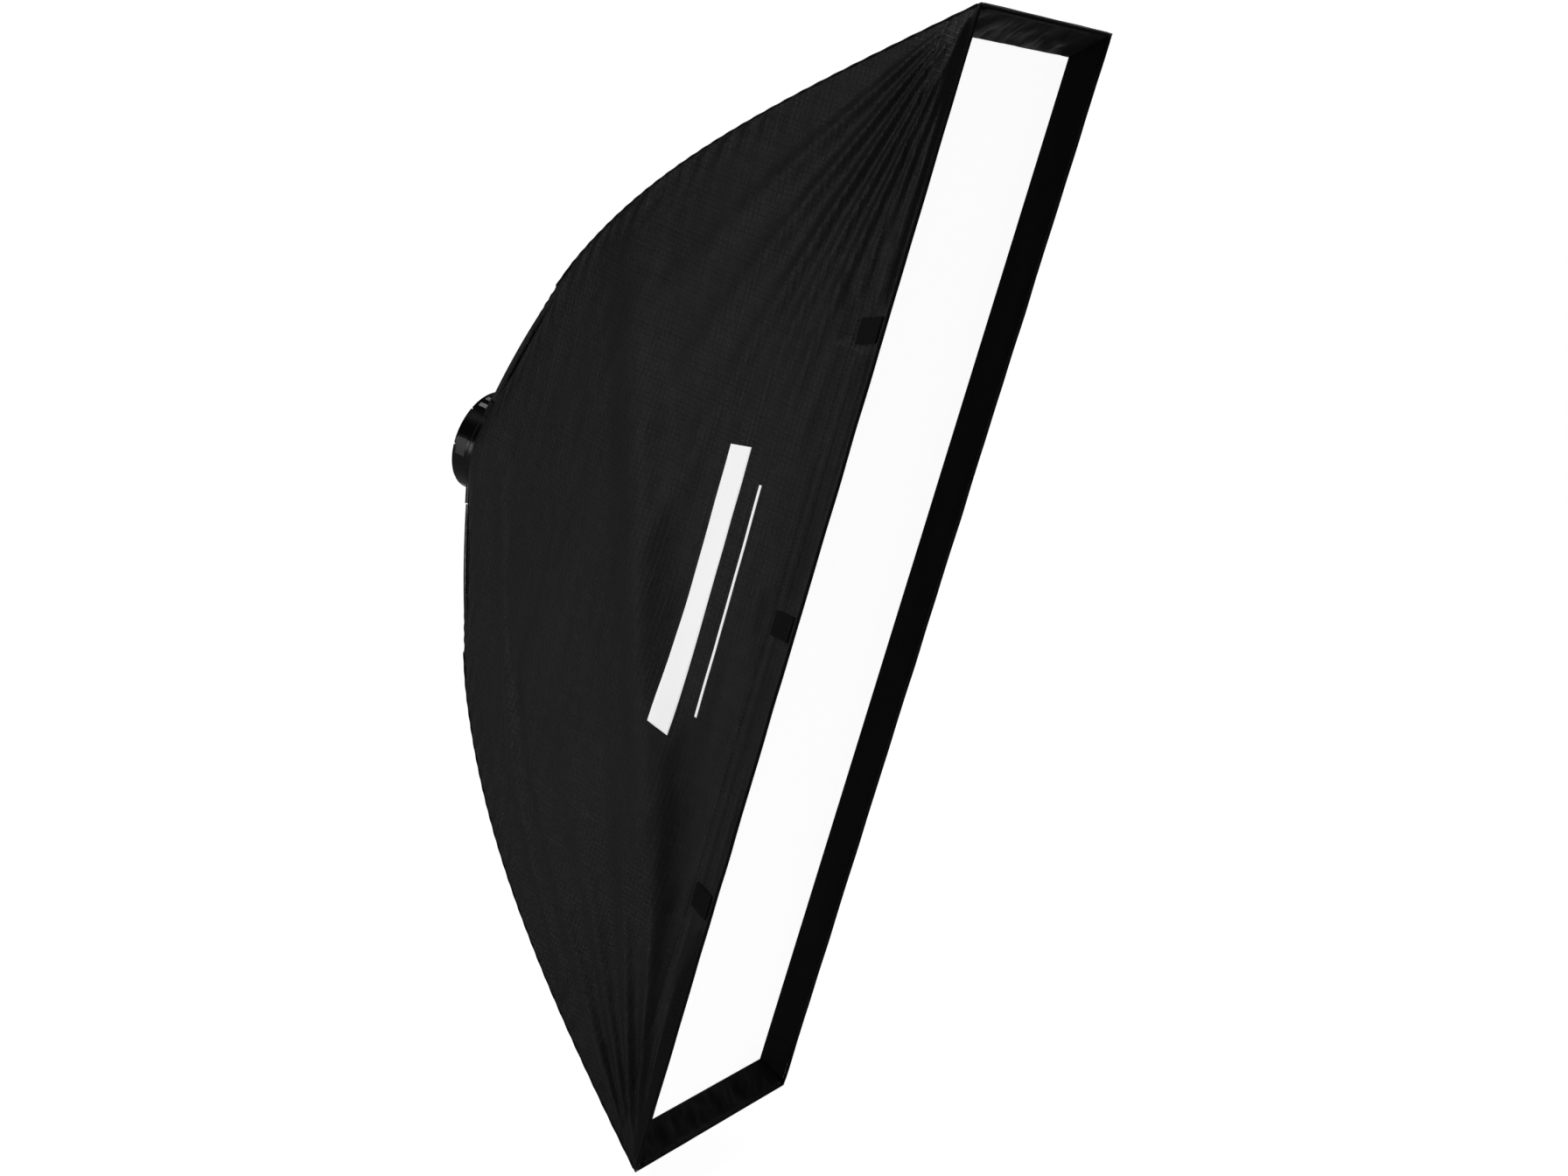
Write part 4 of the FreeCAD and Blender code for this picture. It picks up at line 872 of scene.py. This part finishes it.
def make_front_cloth():
    """The stretched white sheet behind the border, crowned a little to the front."""
    crown_height, thickness = 0.0012, 0.0006
    sheet_low, sheet_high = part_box("front_diffuser")
    x = np.linspace(-sheet_high[0], sheet_high[0], 60)
    z = np.linspace(-sheet_high[2], sheet_high[2], 200)
    grid = np.empty((len(x), len(z), 3))
    grid[..., 0], grid[..., 2] = x[:, None], z[None]
    crown = (1 - (x / sheet_high[0]) ** 2)[:, None] * (1 - (z / sheet_high[2]) ** 4)[None]
    grid[..., 1] = sheet_low[1] - crown_height * crown
    back = grid + np.array([0, thickness, 0])
    uv = np.stack([grid[..., 2], grid[..., 0]], -1).reshape(-1, 2)
    white = sheet_object("front_cloth", grid, back, (DIFFUSION, DIFFUSION), uv)
    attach(white, "front_screen")
    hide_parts("front_diffuser")


# ---------------------------------------------------------------- stage

def area_light(name, at, target, width, height, power):
    """A rectangular lamp that faces its target; power is in watts."""
    light = bpy.data.lights.new(name, "AREA")
    light.shape = "RECTANGLE"
    light.size, light.size_y, light.energy = width, height, power
    obj = bpy.data.objects.new(name, light)
    obj.location = at
    obj.rotation_euler = (Vector(target) - Vector(at)).to_track_quat("-Z", "Y").to_euler()
    bpy.context.collection.objects.link(obj)


def make_floor():
    """Pale floor that sweeps up behind, white to the camera."""
    floor_z, sweep_start, sweep_radius = -0.66, 2.2, 1.4
    back = Vector((0.85, 0.43, 0.0)).normalized()
    side = Vector((-back.y, back.x, 0.0))
    profile = [(-6.0, 0.0), (sweep_start, 0.0)]
    for angle in np.linspace(0.1, math.pi / 2, 14):
        profile.append((sweep_start + sweep_radius * math.sin(angle), sweep_radius * (1 - math.cos(angle))))
    profile.append((3.6, 7.0))
    vertices, faces = [], []
    for along, up in profile:
        for across in (-8.0, 8.0):
            point = back * along + side * across
            vertices.append((point.x, point.y, floor_z + up))
    for k in range(len(profile) - 1):
        faces.append((2 * k, 2 * k + 1, 2 * k + 3, 2 * k + 2))
    mesh = bpy.data.meshes.new("studio_floor")
    mesh.from_pydata(vertices, [], faces)
    mesh.polygons.foreach_set("use_smooth", np.full(len(mesh.polygons), True))
    mesh.update()
    floor = bpy.data.objects.new("studio_floor", mesh)
    bpy.context.collection.objects.link(floor)
    paper, tree, shader = new_material("pale_paper", (0.5, 0.5, 0.5), 0.85)
    seen = tree.nodes.new("ShaderNodeLightPath").outputs["Is Camera Ray"]
    shader.inputs["Emission Color"].default_value = (1, 1, 1, 1)
    tree.links.new(ramp(tree, seen, 0.04, 0.95), shader.inputs["Emission Strength"])
    mesh.materials.append(paper)


def make_lights():
    """Soft lamps, and surroundings that are white to the camera and dim to everything else."""
    area_light("key_soft", (-1.8, 1.1, 2.4), (0, -0.3, 0.1), 0.45, 0.45, 24)
    area_light("ridge_strip", (-2.1, 1.15, -0.45), (-0.1, -0.25, 0.0), 0.20, 0.9, 8)
    area_light("front_fill", (-0.6, -3.2, 1.0), (0, -0.4, 0), 2.4, 2.0, 2.5)
    area_light("far_fill", (2.6, -0.6, 1.6), (0, -0.2, 0), 2.0, 2.0, 7)
    world = bpy.data.worlds.new("studio")
    bpy.context.scene.world = world
    world.use_nodes = True
    tree = world.node_tree
    background = tree.nodes["Background"]
    background.inputs[0].default_value = (1, 1, 1, 1)
    seen = tree.nodes.new("ShaderNodeLightPath").outputs["Is Camera Ray"]
    tree.links.new(ramp(tree, seen, 0.02, 1.0), background.inputs[1])
    bpy.context.scene.view_settings.view_transform = "Standard"


def make_camera():
    """The camera at the photograph's viewing angle."""
    camera = bpy.data.cameras.new("camera")
    camera.lens, camera.sensor_width = CAMERA_LENS, 36.0
    obj = bpy.data.objects.new("camera", camera)
    forward = CAMERA_FORWARD.normalized()
    level_right = forward.cross(Vector((0, 0, 1))).normalized()
    level_up = level_right.cross(forward)
    right = level_right * math.cos(CAMERA_ROLL) + level_up * math.sin(CAMERA_ROLL)
    up = right.cross(forward)
    turn = Matrix((right, up, -forward)).transposed()
    obj.matrix_world = Matrix.Translation(CAMERA_AT) @ turn.to_4x4()
    bpy.context.collection.objects.link(obj)
    bpy.context.scene.camera = obj


finish_cad_nodes()
make_panels()
make_seams()
make_flap_hinges()
make_print()
make_lip()
make_border()
make_front_cloth()
make_floor()
make_lights()
make_camera()
